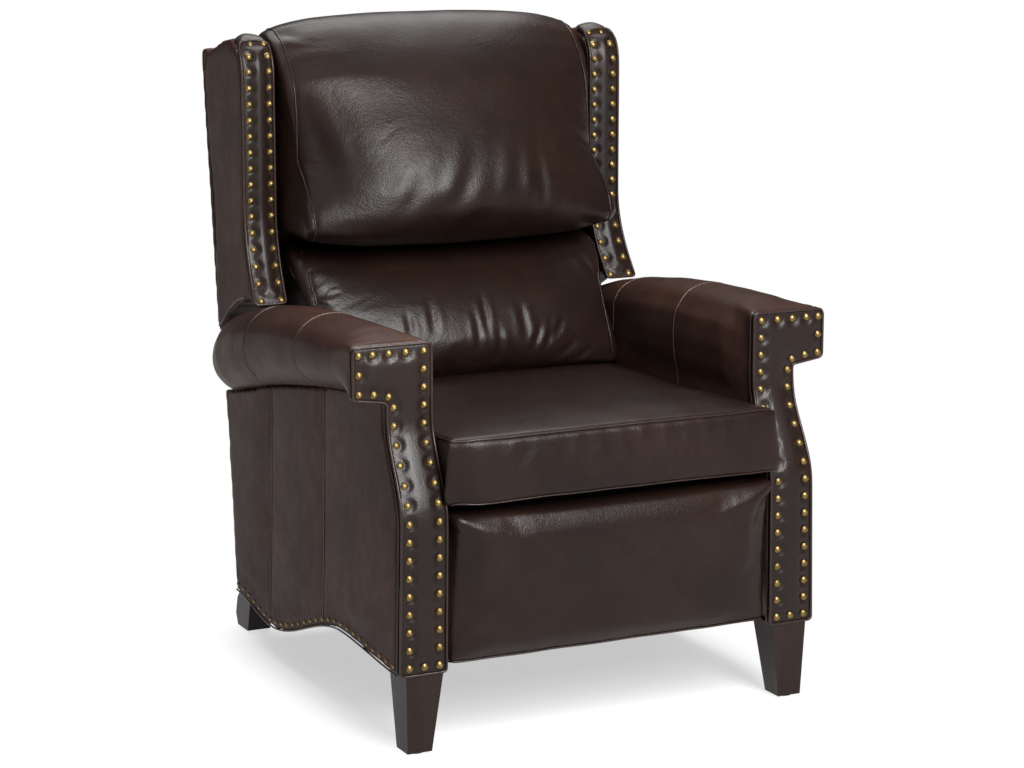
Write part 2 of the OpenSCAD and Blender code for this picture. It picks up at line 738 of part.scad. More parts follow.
// Rear leg: it sweeps back below the panel
module rear_leg(side) {
  low = base_panel_low;
  top_x = panel_x - rear_leg_top_w;
  panel_y = base_rear(low) - base_panel_t;
  color(dark_wood) sided(side) difference() {
    intersection() {
      front_view(0, rear_y) polygon([[rear_leg_out - rear_leg_w, glide_h], [rear_leg_out, glide_h],
        [top_x + rear_leg_top_w, leg_h], [top_x, leg_h]]);
      side_view(0, arm_out) polygon([[rear_leg_foot_y[0], glide_h], [rear_leg_foot_y[1], glide_h],
        [rear_leg_foot_y[1] + leg_inset, mix(glide_h, rear_leg_knee_z, 0.4)], [rear_leg_knee_y[1],
            rear_leg_knee_z],
        [panel_y + base_panel_t, low], [panel_y, low], [base_rear(leg_h) - base_panel_t, leg_h],
        [rear_leg_top_y, leg_h], [rear_leg_knee_y[0], rear_leg_knee_z]]);
    }
    leg_bore(rear_bolt);
  }
}

// Hanger bolts that hold the legs in the arm frames
module leg_bolts() {
  color(bright_steel) for (side = [-1, 1]) {
    for (p = [front_bolt, rear_bolt]) {
      sided(side) translate([p[0], p[1], leg_h - bolt_l / 2]) cylinder(d = bolt_d, h = bolt_l);
    }
  }
}

module glides() {
  foot_x = arm_in + post_w - leg_foot_w / 2 - leg_inset;
  spots = [[foot_x, post_y + leg_front_inset + leg_foot_w / 2],
    [rear_leg_out - rear_leg_w / 2, (rear_leg_foot_y[0] + rear_leg_foot_y[1]) / 2]];
  color(felt) for (side = [-1, 1]) {
    for (p = spots) {
      sided(side) translate([p[0], p[1], 0]) cylinder(d = glide_d, h = glide_h);
    }
  }
}

// Hat-section track screwed to the arm frame, with the ear that carries the back
module track(side) {
  web_x = arm_in + track_gap;
  top_z = track_z + track_h;
  ear_r = 24;
  color(steel) sided(side) difference() {
    union() {
      front_view(track_front, track_rear) polygon([[web_x, track_z], [frame_x - track_t, track_z],
        [frame_x - track_t, track_z - track_lip], [frame_x, track_z - track_lip], [frame_x,
            track_z + track_t],
        [web_x + track_t, track_z + track_t], [web_x + track_t, top_z - track_t], [frame_x,
            top_z - track_t],
        [frame_x, top_z + track_lip], [frame_x - track_t, top_z + track_lip], [frame_x - track_t, top_z],
        [web_x, top_z]]);
      side_view(web_x, web_x + track_t) union() {
        translate([recline_y - ear_r, top_z - track_t]) square([2 * ear_r, recline_z - top_z + track_t]);
        translate(recline) circle(r = ear_r);
      }
    }
    side_view(web_x - overrun, web_x + track_t + overrun) for (y = roller_ys) {
      slot_outline([y - seat_travel, roller_z], [y, roller_z], roller_d / 2 + roller_gap);
    }
    pin(recline, web_x - overrun, web_x + track_t + overrun, recline_pin_r + recline_pin_gap);
  }
}

// Seat parts are drawn in the sloped frame and laid in place here
module on_seat() {
  translate([0, front_y, cushion_z]) rotate([-seat_pitch, 0, 0]) children();
}

module seat_frame() {
  low = -deck_t - seat_rail_h;
  mid = seat_frame_front + seat_rail_t;
  color(bare_wood) on_seat() union() {
    for (u = [seat_frame_front, seat_frame_rear - seat_rail_t]) {
      translate([-seat_rail_x, u, low]) cube([2 * seat_rail_x, seat_rail_t, seat_rail_h]);
    }
    for (x = [-seat_rail_x, seat_rail_x - side_rail_w]) {
      translate([x, mid - overrun, low])
          cube([side_rail_w, seat_frame_rear - seat_rail_t - mid + 2 * overrun, seat_rail_h]);
    }
  }
}

// Flat zig-zag spring: straight bars joined by half turns at alternate sides
module zigzag(bars) {
  r = spring_pitch / 2;
  wire = spring_wire;
  for (i = [0 : bars - 1]) {
    translate([-spring_half_w, i * spring_pitch - wire / 2]) square([2 * spring_half_w, wire]);
  }
  for (i = [0 : bars - 2]) {
    s = i % 2 == 0 ? 1 : -1;
    translate([s * spring_half_w, (i + 0.5) * spring_pitch]) intersection() {
      difference() {
        circle(r = r + wire / 2);
        circle(r = r - wire / 2);
      }
      translate([s > 0 ? 0 : -2 * r, -2 * r]) square([2 * r, 4 * r]);
    }
  }
}

module seat_springs() {
  start = seat_frame_front + seat_rail_t;
  run = seat_frame_rear - seat_rail_t - start;
  bars = floor(run / spring_pitch);
  tail = (run - (bars - 1) * spring_pitch) / 2;
  step = 2 * (seat_rail_x - side_rail_w) / (spring_count + 1);
  color(bright_steel) on_seat() for (i = [1 : spring_count]) {
    translate([-seat_rail_x + side_rail_w + i * step, start + tail, -deck_t - spring_drop - spring_wire])
      linear_extrude(height = spring_wire) union() {
        zigzag(bars);
        translate([-spring_wire / 2, -tail]) square([spring_wire, tail]);
        translate([-spring_wire / 2, (bars - 1) * spring_pitch]) square([spring_wire, tail]);
      }
  }
}

module seat_deck() {
  color(felt) on_seat() translate([-seat_rail_x, seat_frame_front, -deck_t])
    cube([2 * seat_rail_x, seat_frame_rear - seat_frame_front, deck_t]);
}

module seat_cushion() {
  color(leather) on_seat() soft_form(spread(cushion_outline_shares, [0, 0], [cushion_l, cushion_t]),
    cushion_swell_shares * cushion_crown, arm_in - cushion_side_gap, cushion_round,
        cushion_outline_shares * [0, 0]);
}

// Carriage plate: it rides in the track, carries the seat frame and the footrest linkage, and is pushed by
// the back
module carriage(side) {
  x0 = layer_x(0);
  x1 = x0 + strap_t;
  hanger_w = 46;
  hanger_low = pivot_b[1] - hanger_w / 3;
  web_low = roller_z - roller_d;
  eye_top = shaft_z + shaft_r + boss_rim;
  arm_h = 28;
  slot_more = 2;
  roller_side = 3;
  top_at = cushion_z - deck_t - seat_rail_h - strap_t / 2;
  flange_w = layer_x(0) + strap_t - seat_rail_x + side_rail_w;
  slope = tan(seat_pitch);
  color(steel) sided(side) {
    difference() {
      side_view(x0, x1) union() {
        polygon([[shaft_y - hanger_w / 2, eye_top], [pivot_b[0] - hanger_w / 2, hanger_low],
          [pivot_b[0] + hanger_w / 2, hanger_low], [shaft_y + hanger_w, web_low],
          [front_y + flange_rear, web_low], [lever_pin[0], lever_pin[1] - arm_h / 2],
          [lever_pin[0] + arm_h / 2, lever_pin[1]], [lever_pin[0], lever_pin[1] + arm_h / 2],
          [front_y + flange_rear, top_at - flange_rear * slope],
          [front_y + flange_front + strap_t, top_at - flange_front * slope],
          [front_y + flange_front + strap_t, eye_top]]);
      }
      side_view(x0 - overrun, x1 + overrun)
        slot_outline(pivot_b + drop * slot_more, pivot_b_open - drop * slot_more, rivet_r + open_gap);
      pin(pivot_a, x0 - overrun, x1 + overrun, shaft_r + rivet_gap);
    }
    on_seat() translate([x1 - flange_w, flange_front, -deck_t - seat_rail_h - strap_t])
      cube([flange_w - strap_t / 2, flange_rear - flange_front, strap_t]);
    for (y = roller_ys) {
      pin([y, roller_z], x1 - overrun, frame_x - track_t - roller_side, roller_d / 2);
      pin([y, roller_z], x1 - overrun, arm_in + track_gap / 2, roller_d / 2 + layer_gap);
    }
    pin(lever_pin, x1 - overrun, x1 + layer_gap + strap_t + pin_stand, lever_pin_r);
  }
}

// Shaft that turns with the rear links and joins the two sides
module link_shaft() {
  half = layer_x(0) + strap_t + pin_stand;
  color(bright_steel) difference() {
    pin(pivot_a, -half, half, shaft_r);
    pin(pivot_a, -half - overrun, half + overrun, shaft_bore_r);
  }
}

module strap(n, a, b, w) {
  side_view(layer_x(n), layer_x(n) + strap_t) strap_outline(a, b, w);
}

module link_hole(n, p, r) {
  pin(p, layer_x(n) - overrun, layer_x(n) + strap_t + overrun, r);
}

module rear_link(side) {
  color(steel) sided(side) {
    difference() {
      union() {
        strap(1, pivot_a, pivot_c, link_w);
        pin(pivot_a, layer_x(1), layer_x(1) + strap_t, shaft_r + boss_rim);
      }
      link_hole(1, pivot_a, shaft_r);
    }
    rivet(pivot_rear_mid, 1, 2);
    rivet(pivot_c, 1, 2);
  }
}

module rear_cross_link(side) {
  color(steel) sided(side) {
    difference() {
      strap(2, pivot_b, pivot_d, link_w);
      link_hole(2, pivot_rear_mid, rivet_r + rivet_gap);
    }
    rivet(pivot_d, 2, 1);
    pin(pivot_b, layer_x(2), layer_x(0) + strap_t + pin_stand, rivet_r);
  }
}

module front_link(side) {
  color(steel) sided(side) {
    difference() {
      strap(1, pivot_d, pivot_f, link_w);
      link_hole(1, pivot_d, rivet_r + rivet_gap);
    }
    rivet(pivot_front_mid, 1, 2);
    pin(pivot_h, layer_x(4) - rivet_head, layer_x(1) + strap_t, rivet_r);
    pin(pivot_h, layer_x(4) + strap_t, layer_x(4) + strap_t + layer_gap, rivet_r + pin_stand);
    pin(pivot_h, layer_x(4) - rivet_head, layer_x(4), rivet_r + layer_gap);
  }
}

module front_cross_link(side) {
  color(steel) sided(side) {
    difference() {
      strap(2, pivot_c, pivot_e, link_w);
      link_hole(2, pivot_c, rivet_r + rivet_gap);
      link_hole(2, pivot_front_mid, rivet_r + open_gap);
    }
    rivet(pivot_e, 2, 3);
  }
}

// Control link: it sets the footrest's angle, and its hole round the bracket's pin is wide
module control_link(side) {
  color(steel) sided(side) difference() {
    union() {
      strap(4, pivot_h, control_end, link_w);
      pin(control_end, layer_x(4), layer_x(4) + strap_t, control_w / 2);
    }
    link_hole(4, pivot_h, rivet_r + rivet_gap);
    link_hole(4, control_end, control_hole_r);
  }
}

module footrest_bracket(side) {
  x0 = layer_x(3);
  face = board_y + board_t;
  low = pivot_g[1] - bracket_flange_h / 3;
  color(steel) sided(side) {
    difference() {
      side_view(x0, x0 + strap_t) union() {
        polygon([[face, low], [pivot_g[0], pivot_g[1] - link_w / 2], [pivot_g[0] + link_w / 2, pivot_g[1]],
          [pivot_e[0] + link_w / 2, pivot_e[1]], [pivot_e[0], pivot_e[1] + link_w / 2],
          [face, pivot_e[1] + link_w / 2]]);
        translate(pivot_e) circle(d = link_w);
        translate(pivot_g) circle(d = link_w);
      }
      link_hole(3, pivot_e, rivet_r + rivet_gap);
    }
    translate([x0 + strap_t - bracket_flange, face, low]) cube([bracket_flange, strap_t, bracket_flange_h]);
    pin(pivot_g, layer_x(4) - rivet_head - pin_stand, x0 + strap_t, rivet_r);
  }
}

module footrest_board() {
  half = arm_in - foot_side_gap - board_inset;
  color(bare_wood) side_view(-half, half) polygon([[board_y, foot_low + board_inset],
    [board_y + board_t, foot_low + board_inset], [board_y + board_t, footrest_top - 2 * board_inset],
    [board_y, footrest_top - 2 * board_inset]]);
}

// Padding wrapped round the board's front and edges, fuller at the top
module footrest_pad() {
  depth = board_y + board_t - front_y;
  top = footrest_top - 2 * board_inset;
  low = foot_low + board_inset;
  lip_y = board_y + board_t - pad_lip;
  pocket = [[lip_y, top], [board_y, top], [board_y, low], [lip_y, low]];
  outline = concat(spread(foot_outline_shares, [front_y, foot_low], [depth,
      footrest_top + pad_lip - foot_low]), pocket);
  swell = concat(foot_swell_shares * foot_bulge, pocket * 0);
  color(leather) soft_form(outline, swell, arm_in - foot_side_gap, 0, outline * [0, 0]);
}

// Back frame: two posts that bend in below the wings, and three rails
module back_frame() {
  wing_x = back_w / 2 - wing_w;
  post_x = min(arm_in - back_side_gap, wing_x);
  ledge = wide_low_z + back_panel_t;
  post_top = back_rails[0][0] + back_rails[0][1];
  function face(z) = (z > wide_low_z ? back_rear(z) : tuck_rear(z)) - back_panel_t;
  color(bare_wood) {
    for (side = [-1, 1]) {
      sided(side) side_view(post_x - back_post_w, post_x) polygon([[tuck_rear(back_low_z) - back_panel_t,
          back_low_z],
        [tuck_rear(wide_low_z) - back_panel_t, wide_low_z], [tuck_rear(wide_low_z) - back_panel_t, ledge],
        [face(ledge), ledge], [face(post_top), post_top],
        [face(post_top) - back_post_d, post_top],
        [face(wide_low_z) - back_post_d, wide_low_z], [face(back_low_z) - back_post_d, back_low_z]]);
    }
    for (rail = back_rails) {
      half = rail[0] > wide_low_z ? wing_x : post_x;
      top = rail[0] + rail[1];
      side_view(-half, half) polygon([[face(rail[0]) - back_rail_t, rail[0]], [face(rail[0]), rail[0]],
          [face(top), top],
        [face(top) - back_rail_t, top]]);
    }
  }
}

// Outside back: wide panel behind the wings, narrow panel between the arms and the strip over the top
module back_panel() {
  wide = back_w / 2;
  narrow = arm_in - back_side_gap;
  strip = wide - wing_w;
  arc = [for (i = [0 : 6]) [rear_y - back_round + back_round * cos(i * 15),
      back_top_z + back_round * sin(i * 15)]];
  color(leather) union() {
    side_view(-wide, wide) polygon(concat([[back_rear(wide_low_z), wide_low_z]], arc,
      [[rear_y - back_panel_t - back_round, back_top_z + back_round - back_panel_t],
        [back_rear(back_top_z - back_round) - back_panel_t, back_top_z - back_round],
        [back_rear(wide_low_z) - back_panel_t, wide_low_z]]));
    side_view(-strip, strip) polygon([[rear_y - back_round, back_top_z + back_round],
      [top_strip_front, back_top_z + top_strip_rise], [top_strip_front,
          back_top_z + top_strip_rise - back_panel_t],
      [rear_y - back_panel_t - back_round, back_top_z + back_round - back_panel_t - overrun]]);
    side_view(-narrow, narrow) polygon([[tuck_rear(back_low_z), back_low_z], [tuck_rear(wide_low_z),
        wide_low_z],
      [back_rear(wide_low_z), wide_low_z], [back_rear(wide_low_z + back_panel_t),
          wide_low_z + back_panel_t],
      [tuck_rear(wide_low_z) - back_panel_t, wide_low_z + back_panel_t],
      [tuck_rear(wide_low_z) - back_panel_t, wide_low_z],
      [tuck_rear(back_low_z) - back_panel_t, back_low_z]]);
  }
}

// Front edge of the wing as (y, z) points: flared foot, straight run and rounded top, set back by inset
function wing_path(inset) = concat(
  [for (i = [0 : wing_steps]) let (z = mix(wing_low_z, wing_flare_top,
      i / wing_steps)) [wing_edge(z) + inset, z]],
  [for (i = [0 : wing_steps]) let (a = 90 * i / wing_steps, r = wing_top_r - inset)
    [wing_front_y + wing_top_r - r * cos(a), wing_top - wing_top_r + r * sin(a)]],
  [[wing_front_y + wing_top_r + wing_facing_lap, wing_top - inset]]);

// Space a wing fills seen from the front: it splays out at the foot and its outer top corner is round
module wing_space() {
  in_x = back_w / 2 - wing_w;
  foot = [for (i = [0 : wing_steps]) mix(wing_low_z, wing_flare_top, i / wing_steps)];
  front_view(front_y, rear_y) polygon(concat(
    [[in_x + wing_splay, back_low_z], [back_w / 2 + wing_splay, back_low_z]],
    [for (z = foot) [back_w / 2 + wing_shift(z), z]],
    [for (i = [0 : wing_steps]) let (a = 90 * i / wing_steps)
      [back_w / 2 - wing_corner_r * (1 - cos(a)), wing_top - wing_corner_r * (1 - sin(a))]],
    [[in_x, wing_top]],
    [for (k = [wing_steps : -1 : 0]) [in_x + wing_shift(foot[k]), foot[k]]]));
}

module wing_front(side) {
  outer = wing_path(0);
  inner = wing_path(wing_facing_t);
  color(leather) sided(side) intersection() {
    side_view(back_w / 2 - wing_w, back_w / 2 + wing_splay)
      polygon(concat(outer, [for (k = [len(inner) - 1 : -1 : 0]) inner[k]]));
    wing_space();
  }
}

// Wing body: arched over the arm below and sloped down to the back panel above
module wing(side) {
  path = wing_path(wing_facing_t);
  rear_top_z = wing_crown[1][1] - wing_corner_drop;
  arch_shares = [[0.18, 0.12], [0.42, -0.03], [0.66, -0.36], [0.86, -0.78], [1, -0.97]];
  low_y = wing_edge(wing_low_z) + wing_facing_t;
  arch_w = back_rear(wide_low_z) - back_panel_t - low_y;
  arch_h = wing_low_z - wide_low_z;
  arch = [for (s = arch_shares) [low_y + s[0] * arch_w, wing_low_z + s[1] * arch_h]];
  color(leather) sided(side) intersection() {
    side_view(back_w / 2 - wing_w, back_w / 2 + wing_splay) polygon(concat(path, wing_crown,
      [[back_rear(rear_top_z) - back_panel_t, rear_top_z]], [for (k = [len(arch) - 1 : -1 : 0]) arch[k]]));
    wing_space();
  }
}

// Two columns of nails down the wing front
module wing_nails(side) {
  columns = [[back_w / 2 - wing_w + wing_nail_in, 0], [back_w / 2 - wing_nail_out, wing_nail_draw]];
  step = nail_d / 2;
  low = wing_low_z + step;
  straight = wing_top - wing_top_r;
  count = round((straight - low) / wing_nail_pitch);
  color(old_brass) sided(side) for (column = columns) {
    for (i = [0 : count]) {
      z = mix(low, straight, i / count);
      slope = atan2(wing_edge(z + step) - wing_edge(z - step), 2 * step);
      translate([column[0] + wing_shift(z), wing_edge(z), z]) rotate([90 - slope, 0, 0]) nail_dome(nail_d);
    }
    for (i = [1, 2]) {
      a = i * wing_nail_pitch / wing_top_r * 180 / PI;
      translate([column[0] - i * i * column[1], wing_front_y + wing_top_r - wing_top_r * cos(a),
          straight + wing_top_r * sin(a)])
        rotate([90 - a, 0, 0]) nail_dome(nail_d);
    }
  }
}

module lumbar_cushion() {
  color(leather) soft_form(spread(lumbar_outline_shares, lumbar_low, lumbar_size),
    lumbar_swell_shares * lumbar_crown, lumbar_half_w, lumbar_draw, lumbar_outline_shares * [0, 0]);
}

module head_pillow() {
  color(leather) soft_form(spread(pillow_outline_shares, pillow_low, pillow_size),
    pillow_swell_shares * pillow_crown, pillow_half_w, pillow_draw, pillow_pinch_shares);
}

// Back bracket: pivot pin, slotted drive lever and the arm bolted to the back post
module back_bracket(side) {
  x0 = layer_x(-1);
  x1 = x0 + strap_t;
  boss_r = 22;
  lever_r = 15;
  post_foot = [tuck_rear(recline_z) - back_panel_t - back_post_d / 2, recline_z];
  post_head = [tuck_rear(wide_low_z) - back_panel_t - back_post_d / 2, wide_low_z];
  along = (lever_pin - recline) / lever_l;
  color(steel) sided(side) {
    difference() {
      side_view(x0, x1) union() {
        strap_outline(recline, lever_pin, 2 * lever_r);
        translate(recline) circle(r = boss_r);
        strap_outline(post_foot, post_head, back_post_d * 0.8);
        polygon([recline - [0, lever_r], post_foot - [0, boss_r / 2], post_head - [0, 2 * lever_r],
            recline + [0, lever_r]]);
      }
      side_view(x0 - overrun, x1 + overrun)
        slot_outline(lever_pin - along * lever_slot, lever_pin + along * lever_slot * 0.4,
            lever_pin_r + lever_gap);
    }
    pin(recline, x0, frame_x - track_t, recline_pin_r);
    pin(recline, arm_in + track_gap + track_t, arm_in + track_gap + 2 * track_t, recline_pin_r + track_t);
  }
}

arm_pad(-1);  // arm_pad_left
arm_pad(1);  // arm_pad_right
arm_side(-1);  // arm_side_left
arm_side(1);  // arm_side_right
arm_front(-1);  // arm_front_left
arm_front(1);  // arm_front_right
arm_nails(-1);  // arm_nails_left
arm_nails(1);  // arm_nails_right
scallop_nails(-1);  // scallop_nails_left
scallop_nails(1);  // scallop_nails_right
arm_frame(-1);  // arm_frame_left
arm_frame(1);  // arm_frame_right
front_cross_rail();
rear_cross_rail();
rear_panel();
dust_cover();
front_leg(-1);  // front_leg_left
front_leg(1);  // front_leg_right
rear_leg(-1);  // rear_leg_left
rear_leg(1);  // rear_leg_right
leg_bolts();
glides();
track(-1);  // track_left
track(1);  // track_right
seat_frame();
seat_springs();
seat_deck();
seat_cushion();
carriage(-1);  // carriage_left
carriage(1);  // carriage_right
link_shaft();
rear_link(-1);  // rear_link_left
rear_link(1);  // rear_link_right
rear_cross_link(-1);  // rear_cross_link_left
rear_cross_link(1);  // rear_cross_link_right
front_link(-1);  // front_link_left
front_link(1);  // front_link_right
front_cross_link(-1);  // front_cross_link_left
front_cross_link(1);  // front_cross_link_right
control_link(-1);  // control_link_left
control_link(1);  // control_link_right
footrest_board();
footrest_pad();
footrest_bracket(-1);  // footrest_bracket_left
footrest_bracket(1);  // footrest_bracket_right
back_frame();
back_panel();
wing(-1);  // wing_left
wing(1);  // wing_right
wing_front(-1);  // wing_front_left
wing_front(1);  // wing_front_right
wing_nails(-1);  // wing_nails_left
wing_nails(1);  // wing_nails_right
lumbar_cushion();
head_pillow();
back_bracket(-1);  // back_bracket_left
back_bracket(1);  // back_bracket_right
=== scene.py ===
"""Leather, brass, wood and steel for the wingback recliner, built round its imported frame, in metres."""

import math
from collections import namedtuple

import bmesh
import bpy
import numpy as np
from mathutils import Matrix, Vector, noise
from mathutils.bvhtree import BVHTree
from mathutils.kdtree import KDTree


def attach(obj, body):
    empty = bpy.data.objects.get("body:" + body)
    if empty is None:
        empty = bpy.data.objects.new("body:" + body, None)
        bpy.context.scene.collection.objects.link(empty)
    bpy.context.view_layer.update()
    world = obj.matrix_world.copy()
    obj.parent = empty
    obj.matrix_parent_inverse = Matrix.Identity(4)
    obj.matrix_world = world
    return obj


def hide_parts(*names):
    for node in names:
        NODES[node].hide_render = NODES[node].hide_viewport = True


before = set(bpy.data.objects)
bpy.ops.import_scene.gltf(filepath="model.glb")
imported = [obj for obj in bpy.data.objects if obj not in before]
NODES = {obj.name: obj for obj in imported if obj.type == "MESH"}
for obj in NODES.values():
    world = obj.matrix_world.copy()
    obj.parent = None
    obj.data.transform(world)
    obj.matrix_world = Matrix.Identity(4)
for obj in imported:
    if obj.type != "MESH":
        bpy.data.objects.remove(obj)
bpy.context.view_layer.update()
SCENE = bpy.context.scene
SIDES = {"left": -1, "right": 1}
FRONT = Vector((0, -1, 0))
REAR = Vector((0, 1, 0))

# Camera: where it stands, what it looks at and how long its lens is
CAMERA_AT = (-1.9666, -4.0674, 1.3718)
CAMERA_AIM = (0.01376, -0.025, 0.4775)
LENS_MM = 97.03
SENSOR_MM = 36


# Shader maths

class Wire:
    """What comes out of a node, used in a sum as a number is."""

    def __init__(self, finish, socket):
        self.finish = finish
        self.socket = socket

    def maths(self, operation, *values):
        return self.finish.add("Math", {"operation": operation}, dict(enumerate(values)))

    def __add__(self, other):
        return self.maths("ADD", self, other)

    def __sub__(self, other):
        return self.maths("SUBTRACT", self, other)

    def __rsub__(self, other):
        return self.maths("SUBTRACT", other, self)

    def __mul__(self, other):
        return self.maths("MULTIPLY", self, other)

    def __pow__(self, other):
        return self.maths("POWER", self, other)

    __radd__ = __add__
    __rmul__ = __mul__

    def over(self, other):
        return self.maths("MAXIMUM", self, other)

    def ramp(self, low, high):
        """0 below low, 1 above high and an even slope between them."""
        return self.finish.add("MapRange", {"clamp": True},
                               {"Value": self, "From Min": low, "From Max": high})


class Finish:
    """One material, or the world, made of the nodes that are added to it."""

    def __init__(self, owner):
        owner.use_nodes = True
        self.owner = owner
        self.tree = owner.node_tree
        self.tree.nodes.clear()

    def add(self, kind, settings=None, inputs=None, output=0):
        node = self.tree.nodes.new("ShaderNode" + kind)
        for name, value in (settings or {}).items():
            setattr(node, name, value)
        for name, value in (inputs or {}).items():
            if isinstance(value, Wire):
                self.tree.links.new(value.socket, node.inputs[name])
            else:
                node.inputs[name].default_value = value
        return Wire(self, node.outputs[output])

    def place(self, stretch=(1, 1, 1)):
        """The surface's own place, stretched along its axes."""
        here = self.add("TexCoord", output="Object")
        if stretch == (1, 1, 1):
            return here
        return self.add("VectorMath", {"operation": "MULTIPLY"}, {0: here, 1: stretch})

    def cloud(self, scale, detail=3, stretch=(1, 1, 1), rough=0.55):
        return self.add("TexNoise", None, {"Vector": self.place(stretch), "Scale": scale,
                                           "Detail": detail, "Roughness": rough})

    def blend(self, share, first, second):
        """A colour between two colours."""
        return self.add("Mix", {"data_type": "RGBA"},
                        {0: share, 6: colour(first), 7: colour(second)}, output=2)

    def bump(self, height, depth, below=None):
        """A normal that carries a height in metres."""
        inputs = {"Height": height, "Distance": depth, "Strength": 1}
        if below is not None:
            inputs["Normal"] = below
        return self.add("Bump", None, inputs)

    def surface(self, **inputs):
        sockets = {name.replace("_", " "): value for name, value in inputs.items()}
        return self.end(self.add("BsdfPrincipled", None, sockets))

    def end(self, shader, kind="Material"):
        out = self.tree.nodes.new("ShaderNodeOutput" + kind)
        self.tree.links.new(shader.socket, out.inputs["Surface"])
        return self.owner


def new_finish(name):
    return Finish(bpy.data.materials.new(name))


def colour(value):
    return value if isinstance(value, Wire) else (*value, 1)


HIDE_DEEP = (0.0140, 0.0076, 0.0062)
HIDE_MIDDLE = (0.0212, 0.0108, 0.0086)
HIDE_WARM = (0.0385, 0.0178, 0.0114)
PATCHES_PER_M = 6
FLECKS_PER_M = 38
PEBBLES_PER_M = 420
CREASES_PER_M = 95
PEBBLE_DEPTH = 0.00018
CREASE_DEPTH = 0.0005
# How much rougher the hide gets where it has worn, and half of that
WEAR = 0.12
FLECK_WEAR = 0.05
HALF_WEAR = (WEAR + FLECK_WEAR) / 2


def leather(name, roughness, tone_and_painted_light, gloss, crease=1.0):
    """Dark antiqued hide: soft patches of red-brown, pebbled grain and fine creases."""
    skin = new_finish(name)
    patches = skin.cloud(PATCHES_PER_M, 4).ramp(0.38, 0.74)
    flecks = skin.cloud(FLECKS_PER_M).ramp(0.3, 0.7)
    # The tone scales all three shades; it differs from piece to piece as painted light and shade
    deep, middle, warm = [tuple(c * tone_and_painted_light for c in shade) for shade in (HIDE_DEEP, HIDE_MIDDLE, HIDE_WARM)]
    base = skin.blend(patches, middle, warm)
    base = skin.blend(flecks * 0.45, base, deep)
    pebble = skin.add("TexVoronoi", {"feature": "F1"}, {"Vector": skin.place(), "Scale": PEBBLES_PER_M})
    creases = skin.cloud(CREASES_PER_M, 4, rough=0.7)
    pores = skin.bump(1 - pebble, PEBBLE_DEPTH)
    grain = skin.bump(creases, CREASE_DEPTH * crease, pores)
    sheen = skin.cloud(14) * WEAR + flecks * FLECK_WEAR + (roughness - HALF_WEAR)
    return skin.surface(Base_Color=base, Roughness=sheen, Specular_IOR_Level=gloss, Normal=grain)


def brass():
    """Antique brass nail heads, browner where they have tarnished."""
    metal = new_finish("antique_brass")
    tarnish = metal.cloud(160, 3).ramp(0.35, 0.75)
    base = metal.blend(tarnish * 0.8, (0.27, 0.185, 0.070), (0.10, 0.062, 0.024))
    dents = metal.bump(metal.cloud(420, 2), 0.0002)
    return metal.surface(Base_Color=base, Metallic=1.0, Roughness=tarnish * 0.15 + 0.38, Normal=dents)


def dark_wood():
    """Espresso stain over straight grain, satin lacquered and rubbed a little paler in streaks."""
    wood = new_finish("dark_leg_wood")
    grain = wood.cloud(60, 5, (1, 1, 0.06), 0.65).ramp(0.3, 0.7)
    streaks = wood.cloud(14, 3, (1, 1, 0.12)).ramp(0.35, 0.7)
    base = wood.blend(grain * 0.7, (0.017, 0.0100, 0.0084), (0.0080, 0.0047, 0.0040))
    base = wood.blend(streaks * 0.4, base, (0.042, 0.024, 0.019))
    return wood.surface(Base_Color=base, Roughness=grain * 0.08 + 0.34, Specular_IOR_Level=0.15,
                        Normal=wood.bump(grain, 0.0002))


def bare_wood():
    """Kiln-dried hardwood and plywood of the hidden frame."""
    wood = new_finish("bare_frame_wood")
    rings = wood.cloud(22, 4, (0.25, 0.25, 1), 0.6).ramp(0.3, 0.7)
    pores = wood.cloud(240, 3, (0.12, 0.12, 1), 0.7).ramp(0.4, 0.8)
    base = wood.blend(rings, (0.150, 0.095, 0.052), (0.105, 0.062, 0.032))
    base = wood.blend(pores * 0.4, base, (0.070, 0.040, 0.020))
    return wood.surface(Base_Color=base, Roughness=rings * 0.1 + 0.55, Normal=wood.bump(pores, 0.0002))


def painted_steel():
    """Black stoved enamel on the pressed steel links and tracks."""
    steel = new_finish("black_steel")
    wear = steel.cloud(45, 4).ramp(0.5, 0.8)
    base = steel.blend(wear * 0.5, (0.018, 0.018, 0.020), (0.050, 0.050, 0.052))
    peel = steel.bump(steel.cloud(700, 2), 0.0001)
    return steel.surface(Base_Color=base, Metallic=0.0, Roughness=wear * 0.15 + 0.38, Normal=peel)


def plated_steel():
    """Zinc plate on the shaft, springs and bolts."""
    steel = new_finish("bright_steel")
    spangle = steel.add("TexVoronoi", {"feature": "F1"}, {"Vector": steel.place(), "Scale": 160})
    base = steel.blend(spangle, (0.62, 0.62, 0.63), (0.46, 0.46, 0.47))
    return steel.surface(Base_Color=base, Metallic=1.0, Roughness=spangle * 0.15 + 0.28)


def black_cloth():
    """Woven black cambric under the seat and on its deck."""
    cloth = new_finish("black_cloth")
    across = cloth.add("TexWave", {"bands_direction": "X"}, {"Vector": cloth.place(), "Scale": 240})
    along = cloth.add("TexWave", {"bands_direction": "Y"}, {"Vector": cloth.place(), "Scale": 240})
    weave = across * along
    lint = cloth.cloud(60, 3).ramp(0.4, 0.8)
    base = cloth.blend(lint * 0.4, (0.016, 0.016, 0.017), (0.040, 0.040, 0.042))
    return cloth.surface(Base_Color=base, Roughness=weave * 0.1 + 0.8, Normal=cloth.bump(weave, 0.0003))


def nylon():
    """Grey moulded glides under the legs."""
    plastic = new_finish("glide_nylon")
    scuff = plastic.cloud(150, 3).ramp(0.4, 0.7)
    base = plastic.blend(scuff, (0.10, 0.10, 0.105), (0.16, 0.16, 0.165))
    return plastic.surface(Base_Color=base, Roughness=scuff * 0.2 + 0.4)
